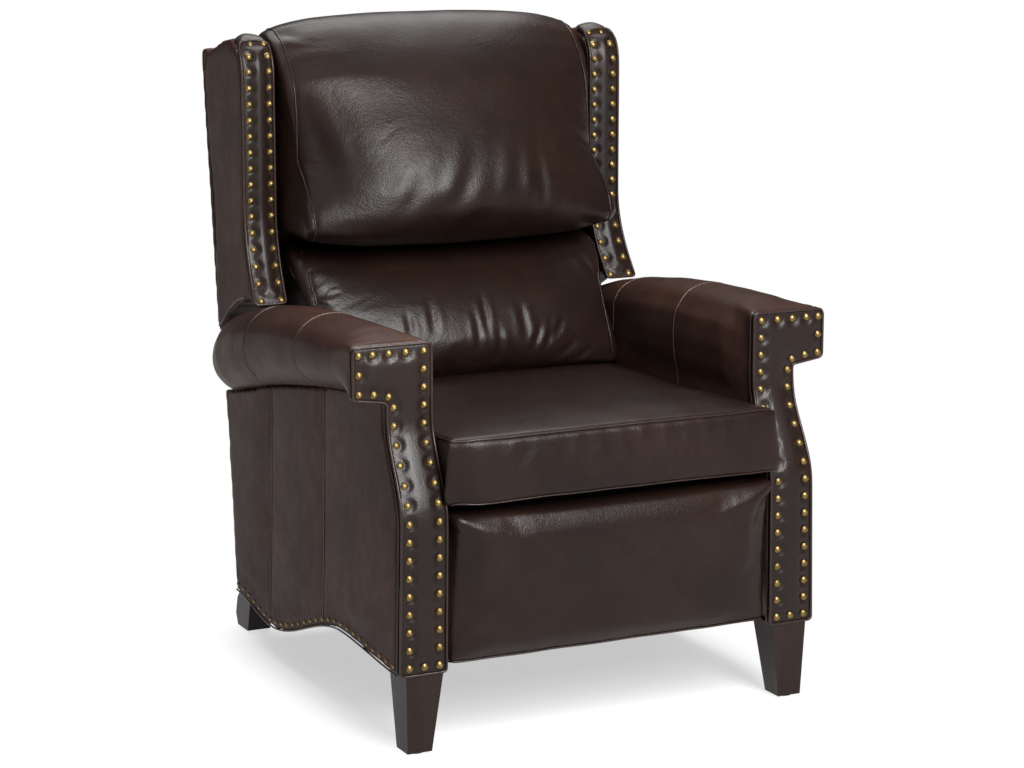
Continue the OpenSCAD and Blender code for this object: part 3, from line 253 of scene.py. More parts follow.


# The hide is one leather throughout; the tone of each piece is set apart as painted light and shade: outside
# panels and rolls are painted about three times lighter than cushions and facings, for the side and top
# light they catch, and the edges of sewn seams lighter still, as a painted highlight. The finish differs
# too: cushions glazed, outside panels duller, facings drawn tight and glossier.
CUSHION_LEATHER = leather("cushion_leather", 0.34, tone_and_painted_light=0.48, gloss=0.19)
PANEL_LEATHER = leather("panel_leather", 0.42, tone_and_painted_light=1.55, gloss=0.035, crease=0.6)
ROLL_LEATHER = leather("roll_leather", 0.42, tone_and_painted_light=1.5, gloss=0.05, crease=0.6)
FACING_LEATHER = leather("facing_leather", 0.38, tone_and_painted_light=0.42, gloss=0.26, crease=0.4)
WELT_LEATHER = leather("welt_leather", 0.32, tone_and_painted_light=0.9, gloss=0.35, crease=0.2)
SEAM_LEATHER = leather("seam_leather", 0.34, tone_and_painted_light=2.6, gloss=0.6, crease=0.2)
BRASS = brass()
LEG_WOOD = dark_wood()
FRAME_WOOD = bare_wood()
BLACK_STEEL = painted_steel()
BRIGHT_STEEL = plated_steel()
CLOTH = black_cloth()
NYLON = nylon()


# Mesh work

# Points of a welt, of a panel's outline and of a sewn line are about this far apart
WELT_STEP = 0.004
OUTLINE_STEP = 0.003
SEW_STEP = 0.006


def points(piece):
    flat = np.empty(len(piece.data.vertices) * 3)
    piece.data.vertices.foreach_get("co", flat)
    return flat.reshape(-1, 3)


def set_points(piece, places):
    piece.data.vertices.foreach_set("co", places.ravel())
    piece.data.update()


def outward(piece):
    flat = np.empty(len(piece.data.vertices) * 3)
    piece.data.vertex_normals.foreach_get("vector", flat)
    return flat.reshape(-1, 3)


def nearest_on(tree, line):
    """The line laid on a surface, each point moved to the nearest place on it."""
    return np.array([tuple(tree.find_nearest(Vector(p))[0]) for p in line])


def smooth_step(value, low, high):
    t = np.clip((value - low) / (high - low), 0, 1)
    return t * t * (3 - 2 * t)


def new_piece(name, mesh):
    piece = bpy.data.objects.new(name, mesh)
    SCENE.collection.objects.link(piece)
    return piece


def apply_modifiers(piece):
    graph = bpy.context.evaluated_depsgraph_get()
    shaped = bpy.data.meshes.new_from_object(piece.evaluated_get(graph), depsgraph=graph)
    piece.modifiers.clear()
    piece.data = shaped


def welded(node):
    """A CAD node's mesh with its corners joined, for reading or copying."""
    mesh = bmesh.new()
    mesh.from_mesh(NODES[node].data)
    bmesh.ops.remove_doubles(mesh, verts=mesh.verts, dist=1e-5)
    mesh.normal_update()
    return mesh


def add_easing(piece, rounds):
    ease = piece.modifiers.new("ease", "SMOOTH")
    ease.factor = 0.5
    ease.iterations = rounds


def covered(name, node, voxel, rounds):
    """A fine copy of a CAD node with its corners rounded, ready to be shaped."""
    rough = welded(node)
    mesh = bpy.data.meshes.new(name)
    rough.to_mesh(mesh)
    rough.free()
    piece = new_piece(name, mesh)
    fine = piece.modifiers.new("fine", "REMESH")
    fine.mode = "VOXEL"
    fine.voxel_size = voxel
    add_easing(piece, rounds)
    apply_modifiers(piece)
    return piece


def dress(piece, body, material, replaced=()):
    """Gives a piece its finish and the body that carries it."""
    piece.data.materials.clear()
    piece.data.materials.append(material)
    piece.data.polygons.foreach_set("use_smooth", [True] * len(piece.data.polygons))
    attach(piece, body)
    if replaced:
        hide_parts(*replaced)
    return piece


def spaced(path, step, closed=False):
    """The path again, with points an even step apart."""
    path = np.asarray(path, float)
    if closed:
        path = np.vstack([path, path[:1]])
    lengths = np.linalg.norm(np.diff(path, axis=0), axis=1)
    run = np.concatenate([[0], np.cumsum(lengths)])
    count = max(int(round(run[-1] / step)), 3)
    marks = np.linspace(0, run[-1], count + 1)
    even = np.stack([np.interp(marks, run, path[:, k]) for k in range(3)], axis=1)
    return even[:-1] if closed else even


def eased(path, rounds, closed=False):
    """The path with its corners rounded."""
    path = np.array(path, float)
    for _ in range(rounds):
        before = np.roll(path, 1, axis=0)
        after = np.roll(path, -1, axis=0)
        moved = (before + 2 * path + after) / 4
        if not closed:
            moved[0], moved[-1] = path[0], path[-1]
        path = moved
    return path


def sideways(path, closed):
    """Two directions across a path at each of its points, which turn no more than the path does."""
    if closed:
        ahead = np.roll(path, -1, axis=0) - np.roll(path, 1, axis=0)
    else:
        ahead = np.gradient(path, axis=0)
    ahead /= np.linalg.norm(ahead, axis=1)[:, None]
    up = np.array([0, 0, 1.0]) if abs(ahead[0][2]) < 0.9 else np.array([1.0, 0, 0])
    ups = []
    for direction in ahead:
        up = up - direction * (up @ direction)
        up = up / np.linalg.norm(up)
        ups.append(up)
    return np.array(ups), np.cross(ahead, ups)


PIPING_SIDES = 8


def piping_faces(count, closed):
    """The faces between a piping's rings of corners, and its two ends where it is open."""
    faces = []
    for i in range(count if closed else count - 1):
        near, far = i * PIPING_SIDES, (i + 1) % count * PIPING_SIDES
        for k in range(PIPING_SIDES):
            m = (k + 1) % PIPING_SIDES
            faces.append((near + k, near + m, far + m, far + k))
    if not closed:
        faces.append(tuple(range(PIPING_SIDES))[::-1])
        faces.append(tuple(range((count - 1) * PIPING_SIDES, count * PIPING_SIDES)))
    return faces


def piping(name, path, radius, closed):
    """A round leather piping along a path."""
    path = np.asarray(path, float)
    ups, across = sideways(path, closed)
    sides = []
    for turn in (2 * math.pi * k / PIPING_SIDES for k in range(PIPING_SIDES)):
        sides.append(path + radius * (math.cos(turn) * ups + math.sin(turn) * across))
    mesh = bpy.data.meshes.new(name)
    places = np.stack(sides, axis=1).reshape(-1, 3)
    mesh.from_pydata(places.tolist(), [], piping_faces(len(path), closed))
    mesh.update()
    return new_piece(name, mesh)


def longest_chain(edges):
    """The corner points, in order, of the longest chain that some edges make."""
    joined = {}
    for edge in edges:
        a, b = edge.verts
        joined.setdefault(a, []).append(b)
        joined.setdefault(b, []).append(a)
    chains = []
    left = set(joined)
    for start in joined:
        if start not in left:
            continue
        left.discard(start)
        here, chain = start, [start]
        while True:
            onward = [v for v in joined[here] if v in left]
            if not onward:
                break
            here = onward[0]
            left.discard(here)
            chain.append(here)
        chains.append([tuple(v.co) for v in chain])
    return np.array(max(chains, key=len))


def rim(node, direction, least=0.5):
    """The outline of those faces of a CAD node that look one way."""
    mesh = welded(node)
    looks = {face for face in mesh.faces if face.normal.dot(direction) > least}
    outline = longest_chain(e for e in mesh.edges if sum(face in looks for face in e.link_faces) == 1)
    mesh.free()
    return outline


def section(piece, across):
    """The outline of a piece where an upright plane cuts it from front to back."""
    mesh = bmesh.new()
    mesh.from_mesh(piece.data)
    cut = bmesh.ops.bisect_plane(mesh, geom=mesh.verts[:] + mesh.edges[:] + mesh.faces[:],
                                 plane_co=(across, 0, 0), plane_no=(1, 0, 0))
    outline = longest_chain(e for e in cut["geom_cut"] if isinstance(e, bmesh.types.BMEdge))
    mesh.free()
    return outline


def lower_edge(path, below):
    """The longest stretch of a closed path that lies low and isn't steep."""
    ahead = np.roll(path, -2, axis=0) - np.roll(path, 2, axis=0)
    flags = (path[:, 2] < below) & (abs(ahead[:, 1]) > 0.6 * abs(ahead[:, 2]))
    if flags.all():
        return path
    shift = int(np.argmin(flags))
    path, flags = np.roll(path, -shift, axis=0), np.roll(flags, -shift)
    best, run = [], []
    for point, good in zip(path, flags):
        run = run + [point] if good else []
        if len(run) > len(best):
            best = run
    return np.array(best)


def nail_centres(node):
    """The middle of every nail in a CAD node of nails."""
    mesh = welded(node)
    left, centres = set(mesh.verts), []
    while left:
        stack, group = [left.pop()], []
        while stack:
            vertex = stack.pop()
            group.append(vertex.co.copy())
            for edge in vertex.link_edges:
                other = edge.other_vert(vertex)
                if other in left:
                    left.discard(other)
                    stack.append(other)
        centres.append(sum(group, Vector()) / len(group))
    mesh.free()
    return np.array([tuple(c) for c in centres])


def distances(places, marks):
    """How far each place is from the nearest mark."""
    tree = KDTree(len(marks))
    for index, mark in enumerate(marks):
        tree.insert(mark, index)
    tree.balance()
    return np.array([tree.find(place)[2] for place in places])


def wave(places, size, seed):
    """Slow, even noise between about -1 and 1."""
    return np.array([noise.noise(Vector(p) / size + Vector((seed, seed, seed))) for p in places])


def surface_tree(piece):
    mesh = bmesh.new()
    mesh.from_mesh(piece.data)
    tree = BVHTree.FromBMesh(mesh)
    mesh.free()
    return tree


def cast(tree, start, direction):
    """Where a straight line from outside first meets the surface."""
    hit = tree.ray_cast(Vector(start), Vector(direction).normalized())
    return None if hit[0] is None else np.array(hit[0])


# Nailed front panels of the arms and wings

FACING_VOXEL = 0.003
FACING_ROUNDS = 10
WELT_RADIUS = 0.0022
WELT_SET_IN = 0.0015
# Leather lies flat within this of a nail's middle, and the crown starts this far inside the edge
NAIL_SEAT = 0.0064
NAIL_MARGIN = 0.0080
NAIL_SINK = 0.0008
# A place is padded in full where it looks this much the way of the panel, and not at all below that
PADDED_FROM = (0.45, 0.85)
DOME = 0.006
DOME_REACH = 0.030
BEND = 0.011
BEND_STEP = 0.001

FACINGS = {
    # panel: body, nails, height of its crown, half its width, reach of the dip round a nail, domed top
    "arm_front_": ("base", "arm_nails_", 0.0045, 0.034, 0.0145, False),
    "wing_front_": ("back", "wing_nails_", 0.0070, 0.031, 0.0118, True),
}


def puff(piece, direction, edge, nails, height, half_width, dip):
    """Padding that crowns across a panel and is drawn down flat round each nail."""
    places, normals = points(piece), outward(piece)
    faces_out = smooth_step(normals @ np.array(direction), *PADDED_FROM)
    across = np.clip((distances(places, edge) - NAIL_MARGIN) / (half_width - NAIL_MARGIN), 0, 1)
    lift = height * np.sin(across * math.pi / 2) * faces_out
    for nail in nails:
        lift *= smooth_step(np.linalg.norm(places - nail, axis=1), NAIL_SEAT, dip)
    set_points(piece, places + normals * (lift - NAIL_SINK * faces_out)[:, None])


def welt(name, path, radius, body, closed=True, material=None):
    return dress(piping(name, path, radius, closed), body, material or WELT_LEATHER)


def domed(places):
    """A wing panel's top, padded up to a low dome."""
    middle = (places[:, 0].min() + places[:, 0].max()) / 2
    half = np.ptp(places[:, 0]) / 2
    top = places[:, 2].max()
    near_top = smooth_step(places[:, 2], top - DOME_REACH, top)
    bow = np.clip(1 - ((places[:, 0] - middle) / half) ** 2, 0, 1)
    return places + np.outer(DOME * bow * near_top, (0, 0, 1))


def softened(places, face):
    """The places moved forward or back so that the bends of the front face run softly into each other."""
    low, high = face[:, 2].min(), face[:, 2].max()
    heights = np.arange(low, high, BEND_STEP)
    order = np.argsort(face[:, 2])
    depths = np.interp(heights, face[order, 2], face[order, 1])
    reach = np.arange(-3 * BEND, 3 * BEND, BEND_STEP)
    weights = np.exp(-(reach / BEND) ** 2 / 2)
    padded = np.pad(depths, len(reach) // 2, "reflect", reflect_type="odd")
    soft = np.convolve(padded, weights / weights.sum(), "same")[len(reach) // 2:][:len(depths)]
    moved = places.copy()
    moved[:, 1] += np.interp(places[:, 2], heights, soft - depths)
    return moved


def facing(node, nails, body, height, half_width, dip, has_dome):
    """A nailed front panel with a welt round its face and another where it meets the arm or wing."""
    piece = covered(node + "_leather", node, FACING_VOXEL, FACING_ROUNDS)
    face = spaced(rim(node, FRONT), OUTLINE_STEP, True)
    edge = softened(eased(face, 3, True), face)
    set_points(piece, softened(points(piece), face))
    puff(piece, FRONT, edge, nails, height, half_width, dip)
    if has_dome:
        set_points(piece, domed(points(piece)))
        edge = domed(edge)
    dress(piece, body, FACING_LEATHER, [node])
    edge = spaced(edge, WELT_STEP, True) + np.array([0, WELT_SET_IN, 0])
    welt(node + "_welt", edge, WELT_RADIUS, body)
    seam = softened(eased(spaced(rim(node, REAR), OUTLINE_STEP, True), 3, True), face)
    seam = spaced(seam, WELT_STEP, True) - np.array([0, WELT_SET_IN, 0])
    welt(node + "_seam_welt", seam, WELT_RADIUS, body)


for side in SIDES:
    for panel, (body, nails, *form) in FACINGS.items():
        facing(panel + side, nail_centres(nails + side), body, *form)


# Arm rolls and outside panels

ROLL_SEAMS_Y = (-0.110, 0.120)
SIDE_SEAMS_Y = (-0.090, 0.152)
SEAM_RADIUS = 0.0008
SEAM_DEPTH = 0.0014
SEAM_REACH = 0.003
PANEL_VOXEL = 0.005

# Height and size of the unevenness of each sort of panel, and the seeds of its noise
ROLL_RIPPLE = (0.0012, 0.09)
WING_RIPPLE = (0.0012, 0.12)
REAR_RIPPLE = (0.0010, 0.15)
SEEDS = {"roll": 3, "wing": 11, "rear": 17, "cushion": 5}


def groove(piece, line, depth, reach):
    """Draws the leather in along a sewn line."""
    places = points(piece)
    pull = depth * np.exp(-(distances(places, line) / reach) ** 2)
    set_points(piece, places - outward(piece) * pull[:, None])


def ripple(piece, height, size, seed):
    """The slight unevenness of hide over padding."""
    places = points(piece)
    set_points(piece, places + outward(piece) * (height * wave(places, size, seed))[:, None])


def sewn(piece, name, line, body):
    """A sewn seam: the leather dips to it and its folded edge stands up in the dip."""
    groove(piece, line, SEAM_DEPTH, SEAM_REACH)
    # The seam's folded edge is painted lighter than the panel round it, a painted highlight along the seam
    welt(name, spaced(eased(line, 2), WELT_STEP), SEAM_RADIUS, body, False, SEAM_LEATHER)


# The seam over an arm roll: up the inside of the arm, then round the middle of the roll, in degrees
INSIDE_LOW_Z = 0.440
INSIDE_HIGH_Z = 0.600
ROLL_MIDDLE = (0.350, 0.560)
ROLL_TURN = (-60, 150, 4)
CLEAR_OF_ROLL = 0.3


def roll_seam(tree, sign, y):
    """A line over the arm roll, from the seat cushion to the fold under the roll."""
    heights = np.arange(INSIDE_LOW_Z, INSIDE_HIGH_Z, SEW_STEP)
    line = [cast(tree, (0, y, z), (sign, 0, 0)) for z in heights]
    centre = np.array([sign * ROLL_MIDDLE[0], y, ROLL_MIDDLE[1]])
    for turn in np.radians(np.arange(*ROLL_TURN)):
        way = np.array([math.sin(turn) * sign, 0, math.cos(turn)])
        line.append(cast(tree, centre + way * CLEAR_OF_ROLL, -way))
    return spaced([p for p in line if p is not None], SEW_STEP)


# The seams down the outside panel: their ends, their bow to the front and the panel's least place out
SIDE_SEAM_TOP = 0.53
SIDE_SEAM_LOW = 0.07
SIDE_SEAM_BOW = 0.006
CLEAR_OF_ARM = 0.6
OUTSIDE_X = 0.33


def side_seam(tree, sign, y):
    """A line down the outside panel, bowed a little to the front."""
    line = []
    for z in np.arange(SIDE_SEAM_TOP, SIDE_SEAM_LOW, -SEW_STEP):
        share = (z - SIDE_SEAM_LOW) / (SIDE_SEAM_TOP - SIDE_SEAM_LOW)
        bow = SIDE_SEAM_BOW * math.sin(math.pi * share)
        found = cast(tree, (sign * CLEAR_OF_ARM, y - bow, z), (-sign, 0, 0))
        if found is not None and abs(found[0]) > OUTSIDE_X:
            line.append(found)
    return np.array(line)


# Padding between the side seams, and the small puckers above the scallop's nails
SIDE_ENDS_Y = (-0.40, 0.36)
SIDE_CROWN = 0.003
NAILED_STRIP = 0.016
CROWN_FROM = 0.060
PUCKER_HEIGHT = 0.0007
PUCKER_PITCH = 0.0125
PUCKER_SLANT = 0.05
PUCKER_FULL = 0.026
PUCKER_REACH = 0.055
SIDE_PADDED_FROM = (0.6, 0.9)


def panel_form(piece, sign, scallop):
    """Soft padding between the seams, gathered into small puckers above the nails of the scallop."""
    places, normals = points(piece), outward(piece)
    edges = [SIDE_ENDS_Y[0], *SIDE_SEAMS_Y, SIDE_ENDS_Y[1]]
    bulge = np.zeros(len(places))
    for near, far in zip(edges, edges[1:]):
        share = np.clip((places[:, 1] - near) / (far - near), 0, 1)
        bulge += SIDE_CROWN * np.sin(math.pi * share) ** 0.7
    above = distances(places, scallop)
    bulge *= smooth_step(above, NAILED_STRIP, CROWN_FROM)
    gathers = np.cos(2 * math.pi * (places[:, 1] + PUCKER_SLANT * places[:, 2]) / PUCKER_PITCH)
    rising = smooth_step(above, NAILED_STRIP, PUCKER_FULL)
    gathers *= rising * (1 - smooth_step(above, PUCKER_FULL, PUCKER_REACH))
    gathers *= smooth_step(places[:, 1], -0.20, -0.06) * 0.6 + 0.25
    faces_out = smooth_step(normals[:, 0] * sign, *SIDE_PADDED_FROM)
    set_points(piece, places + normals * ((bulge + PUCKER_HEIGHT * gathers) * faces_out)[:, None])


SCALLOP_TOP = 0.140
SCALLOP_WELT_RADIUS = 0.0015
REAR_PULL = 0.013


def arm(side, sign):
    body = "base"
    roll = covered("arm_pad_%s_leather" % side, "arm_pad_" + side, PANEL_VOXEL, 8)
    panel = covered("arm_side_%s_leather" % side, "arm_side_" + side, PANEL_VOXEL, 3)
    places = points(panel)
    places[:, 1] += REAR_PULL * smooth_step(places[:, 1], 0.33, 0.37) * smooth_step(places[:, 2], 0.15, 0.45)
    set_points(panel, places)
    ripple(roll, *ROLL_RIPPLE, SEEDS["roll"] + sign)
    outline = spaced(rim("arm_side_" + side, Vector((sign, 0, 0)), 0.7), WELT_STEP, True)
    scallop = lower_edge(outline, SCALLOP_TOP)
    panel_form(panel, sign, scallop)
    for index, (roll_y, side_y) in enumerate(zip(ROLL_SEAMS_Y, SIDE_SEAMS_Y)):
        ending = "_%s_%d" % (side, index)
        sewn(roll, "arm_roll_seam" + ending, roll_seam(surface_tree(roll), sign, roll_y), body)
        sewn(panel, "arm_side_seam" + ending, side_seam(surface_tree(panel), sign, side_y), body)
    dress(roll, body, ROLL_LEATHER, ["arm_pad_" + side])
    dress(panel, body, PANEL_LEATHER, ["arm_side_" + side])
    welt("scallop_welt_" + side, eased(scallop, 3), SCALLOP_WELT_RADIUS, body, False)


for side, sign in SIDES.items():
    arm(side, sign)


# Wings and the outside of the back

WING_RISE = 0.010
WING_RISE_STARTS = (0.285, 0.305)
WING_RISE_ENDS = 0.430
WING_RISE_RUN = 0.125
WING_TOP_Z = (0.95, 1.0)
WING_REAR_PULL = 0.010
WING_REAR_Y = (0.375, 0.415)
WING_DROP = 0.010
WING_LOW_Z = (0.60, 0.65)
WING_LOW_EDGE_Z = 0.612
WING_WELT_RADIUS = 0.0016
REAR_WELT_RADIUS = 0.0018
REAR_VOXEL = 0.004


def wing_form(piece):
    """Padding that stands up level with the front panel's top, and reaches further back and down."""
    places, normals = points(piece), outward(piece)
    rise = smooth_step(places[:, 1], *WING_RISE_STARTS)
    rise *= np.clip((WING_RISE_ENDS - places[:, 1]) / WING_RISE_RUN, 0, 1)
    rise *= smooth_step(normals[:, 2], 0.0, 0.5)
    places[:, 2] += WING_RISE * rise * smooth_step(places[:, 2], *WING_TOP_Z)
    places[:, 1] += WING_REAR_PULL * smooth_step(places[:, 1], *WING_REAR_Y)
    low = smooth_step(places[:, 1], 0.20, 0.26) * (1 - smooth_step(places[:, 1], 0.35, 0.41))
    places[:, 2] -= WING_DROP * low * (1 - smooth_step(places[:, 2], *WING_LOW_Z))
    set_points(piece, places)


def wing(side, sign):
    node = "wing_" + side
    piece = covered(node + "_leather", node, PANEL_VOXEL, 3)
    wing_form(piece)
    ripple(piece, *WING_RIPPLE, SEEDS["wing"] + sign)
    low_edge = lower_edge(spaced(rim(node, Vector((sign, 0, 0)), 0.7), WELT_STEP, True), WING_LOW_EDGE_Z)
    low_edge = nearest_on(surface_tree(piece), eased(low_edge, 3))
    welt(node + "_low_welt", spaced(low_edge, WELT_STEP), WING_WELT_RADIUS, "back", False)
    dress(piece, "back", PANEL_LEATHER, [node])


for side, sign in SIDES.items():
    wing(side, sign)

for node, body in (("back_panel", "back"), ("rear_panel", "base")):
    panel = covered(node + "_leather", node, REAR_VOXEL, 3)
    ripple(panel, *REAR_RIPPLE, SEEDS["rear"])
    dress(panel, body, PANEL_LEATHER, [node])
    edge = nearest_on(surface_tree(panel), eased(spaced(rim(node, REAR), WELT_STEP, True), 3, True))
    welt(node + "_welt", spaced(edge, WELT_STEP, True), REAR_WELT_RADIUS, body)


# Cushions

CUSHION_VOXEL = 0.0045
SIM_FRAMES = 20
UP = Vector((0, 0, 1))
DOWN = Vector((0, 0, -1))
HELD_REACH = 0.010
RELAX_ROUNDS = 8
CUSHION_RIPPLE = (0.0010, 0.07)
CUSHION_WELT_RADIUS = 0.0012
CUSHION_SEAM_DEPTH = 0.0015
CUSHION_SEAM_REACH = 0.004

# most: how far it may swell; rounds: of easing its corners; sewn: at faces that look there, or at x
Cushion = namedtuple("Cushion", "body pressure most fill rounds sewn")
CUSHIONS = {
    "seat_cushion": Cushion("seat", 4, 0.009, 0.85, 22, (UP, DOWN)),
    "footrest_pad": Cushion("footrest", 5, 0.010, 0.9, 40, (REAR, DOWN)),
    "lumbar_cushion": Cushion("back", 4, 0.010, 0.75, 12, (-0.263, 0.263)),
    "head_pillow": Cushion("back", 5, 0.012, 0.7, 14, (-0.272, 0.272)),
}

PUSHES = {
    # piece: middle, reach and push of every place where the filling stands out; one right of the
    # centre line is there on the left too
    "seat_cushion": [((0.280, -0.445, 0.450), (0.06, 0.020, 0.12), (0.038, 0, 0)),
                     ((0.280, -0.445, 0.385), (0.06, 0.020, 0.04), (0.020, 0, 0)),
                     ((0.280, -0.435, 0.367), (0.10, 0.040, 0.03), (0, 0, -0.006)),
                     ((-0.285, -0.450, 0.420), (0.030, 0.040, 0.20), (0, 0.014, 0))],
    "lumbar_cushion": [((0.270, 0.110, 0.490), (0.06, 0.10, 0.06), (0.016, -0.006, -0.014)),
                       ((-0.262, 0.130, 0.600), (0.050, 0.10, 0.10), (-0.010, -0.002, 0)),
                       ((0.262, 0.150, 0.680), (0.060, 0.12, 0.06), (0.022, -0.010, 0.022))],
    "head_pillow": [((0.290, 0.130, 0.745), (0.06, 0.045, 0.06), (0.006, -0.004, 0)),
                    ((0, 0.080, 0.810), (0.40, 0.10, 0.085), (0, -0.010, 0)),
                    ((-0.170, 0.080, 0.830), (0.08, 0.08, 0.08), (0, -0.006, 0))],
    "footrest_pad": [((0.280, -0.425, 0.373), (0.12, 0.05, 0.04), (0.003, 0, 0.006)),
                     ((0, -0.400, 0.373), (0.40, 0.05, 0.04), (0, 0, 0.006))],
}

CREASES = {
    # piece: depth, reach and the places, across and up, of every crease in its front
    "head_pillow": [
        (0.0018, 0.013, [(-0.080, 0.828), (-0.111, 0.786), (-0.134, 0.750)]),
        (0.0012, 0.013, [(-0.040, 0.850), (-0.070, 0.800), (-0.100, 0.762)]),
        (0.0019, 0.015, [(0.020, 0.872), (-0.003, 0.822), (-0.030, 0.780), (-0.082, 0.745)]),
        (0.0011, 0.016, [(0.066, 0.890), (0.040, 0.840), (0.020, 0.780)]),
        (0.0010, 0.013, [(0.095, 0.870), (0.080, 0.810), (0.072, 0.765)]),
        (0.0026, 0.012, [(0.134, 0.860), (0.129, 0.814), (0.127, 0.773), (0.118, 0.735)]),
        (0.0016, 0.008, [(0.156, 0.865), (0.163, 0.805)]),
        (0.0030, 0.007, [(0.218, 0.925), (0.247, 0.862), (0.278, 0.835)]),
        (0.0025, 0.006, [(0.222, 0.882), (0.270, 0.830)]),
        (0.0050, 0.010, [(0.205, 0.722), (0.245, 0.712), (0.285, 0.700)]),
        (0.0030, 0.014, [(-0.262, 0.940), (-0.244, 0.870), (-0.238, 0.800)]),
        (0.0015, 0.004, [(-0.270, 0.839), (-0.245, 0.834)]),
        (0.0015, 0.004, [(-0.270, 0.832), (-0.250, 0.824)]),
        (0.0025, 0.006, [(-0.285, 1.046), (-0.235, 1.043)]),
    ],
    "lumbar_cushion": [
        (0.0018, 0.006, [(-0.121, 0.590), (-0.122, 0.548)]),
        (0.0020, 0.007, [(-0.077, 0.606), (-0.080, 0.552)]),
        (0.0022, 0.006, [(0.001, 0.586), (-0.002, 0.522)]),
        (0.0024, 0.006, [(0.021, 0.608), (0.014, 0.546)]),
        (0.0018, 0.006, [(0.037, 0.556), (0.039, 0.512)]),
        (0.0022, 0.007, [(0.088, 0.592), (0.089, 0.536)]),
        (0.0022, 0.006, [(0.121, 0.553), (0.100, 0.514)]),
        (0.0022, 0.006, [(0.144, 0.555), (0.124, 0.513)]),
        (0.0024, 0.006, [(0.168, 0.558), (0.139, 0.526)]),
        (0.0024, 0.006, [(0.190, 0.522), (0.150, 0.494)]),
        (0.0022, 0.005, [(0.225, 0.508), (0.186, 0.484)]),
        (0.0020, 0.004, [(-0.270, 0.619), (-0.232, 0.636)]),
        (0.0020, 0.004, [(-0.270, 0.615), (-0.226, 0.626)]),
        (0.0020, 0.004, [(-0.270, 0.611), (-0.248, 0.600)]),
        (0.0025, 0.007, [(0.235, 0.660), (0.266, 0.600)]),
    ],
    "seat_cushion": [
        (0.0018, 0.010, [(-0.158, 0.473), (-0.183, 0.428)]),
        (0.0018, 0.010, [(-0.096, 0.468), (-0.092, 0.412)]),
        (0.0022, 0.010, [(-0.060, 0.466), (-0.070, 0.402)]),
        (0.0020, 0.010, [(-0.022, 0.473), (-0.004, 0.430)]),
        (0.0018, 0.010, [(0.012, 0.473), (0.030, 0.438)]),
        (0.0022, 0.010, [(0.056, 0.473), (0.056, 0.405)]),
        (0.0020, 0.010, [(0.100, 0.473), (0.098, 0.420)]),
        (0.0018, 0.010, [(0.134, 0.470), (0.138, 0.428)]),
        (0.0015, 0.010, [(0.168, 0.470), (0.172, 0.420)]),
        (0.0013, 0.010, [(0.205, 0.470), (0.208, 0.440)]),
    ],
    "footrest_pad": [
        (0.0006, 0.030, [(0.050, 0.360), (0.030, 0.300)]),
    ],
}


def seams_of(node, piece):
    """The closed seams of a cushion: round the faces that look some way, or across it at some place."""
    lines = [section(piece, place) if isinstance(place, float) else rim(node, place, 0.6)
             for place in CUSHIONS[node].sewn]
    return [eased(spaced(line, WELT_STEP, True), 4, True) for line in lines]


def hold(piece, lines):
    """A vertex group that holds the leather where it is sewn."""
    group = piece.vertex_groups.new(name="held")
    weights = np.exp(-(distances(points(piece), np.vstack(lines)) / HELD_REACH) ** 2)
    for index in np.nonzero(weights > 0.02)[0]:
        group.add([int(index)], float(weights[index]), "REPLACE")


def add_cloth(piece, pressure):
    cloth = piece.modifiers.new("cloth", "CLOTH")
    cloth.settings.use_pressure = True
    cloth.settings.uniform_pressure_force = pressure
    cloth.settings.effector_weights.gravity = 0
    cloth.settings.vertex_group_mass = "held"
    cloth.settings.quality = 4
    cloth.collision_settings.use_collision = False
    cloth.point_cache.frame_start = 1
    cloth.point_cache.frame_end = SIM_FRAMES


def keep_swelling(piece, graph, most):
    """Takes over the shape that the cloth has reached, no point further out than it may go."""
    places, start = points(piece.evaluated_get(graph)), points(piece)
    moved = places - start
    length = np.linalg.norm(moved, axis=1)
    share = most * np.tanh(length / most) / np.maximum(length, 1e-9)
    piece.modifiers.clear()
    set_points(piece, start + moved * share[:, None])


def inflate(pieces):
    """Blows the cushions up like cloth bags, with their seams held."""
    for node, piece in pieces.items():
        add_cloth(piece, CUSHIONS[node].pressure)
    for step in range(1, SIM_FRAMES + 1):
        SCENE.frame_set(step)
    graph = bpy.context.evaluated_depsgraph_get()
    for node, piece in pieces.items():
        keep_swelling(piece, graph, CUSHIONS[node].most)
    SCENE.frame_set(1)


def fill_out(piece, pushes):
    """Moves the filling out where a cushion is fuller than its plain form."""
    places = points(piece)
    for middle, reach, push in pushes:
        for sign in SIDES.values() if middle[0] > 0 else [1]:
            mirror = np.array([sign, 1, 1])
            away = ((places - np.array(middle) * mirror) / np.array(reach)) ** 2
            places = places + np.exp(-away.sum(axis=1))[:, None] * np.array(push) * mirror
    set_points(piece, places)


# Height of a crease's shoulders for its depth, and how far into its fading a crease starts and ends
SHOULDER = 0.5
CREASE_END = 0.06
CREASED_FROM = (0.05, 0.45)


def crease(places, depth, reach, line):
    """How far a crease draws the front in, or lifts it at the crease's shoulders."""
    flat = places[:, [0, 2]]
    steps = spaced([(x, z, 0) for x, z in line], WELT_STEP)[:, :2]
    away = np.linalg.norm(flat[:, None] - steps[None], axis=2)
    share = away.argmin(axis=1) / (len(steps) - 1)
    away = away.min(axis=1)
    shoulder = SHOULDER * np.exp(-((away - 2 * reach) / reach) ** 2)
    fade = np.sin(math.pi * (CREASE_END + (1 - 2 * CREASE_END) * share))
    return depth * (shoulder - np.exp(-(away / reach) ** 2)) * fade


def rumple(piece, creases):
    """Presses the creases of use into a cushion's front."""
    places, normals = points(piece), outward(piece)
    lift = sum(crease(places, *one) for one in creases)
    set_points(piece, places + normals * (lift * smooth_step(-normals[:, 1], *CREASED_FROM))[:, None])


def relax(piece):
    """Eases out the small folds that blowing up leaves."""
    add_easing(piece, RELAX_ROUNDS)
    apply_modifiers(piece)


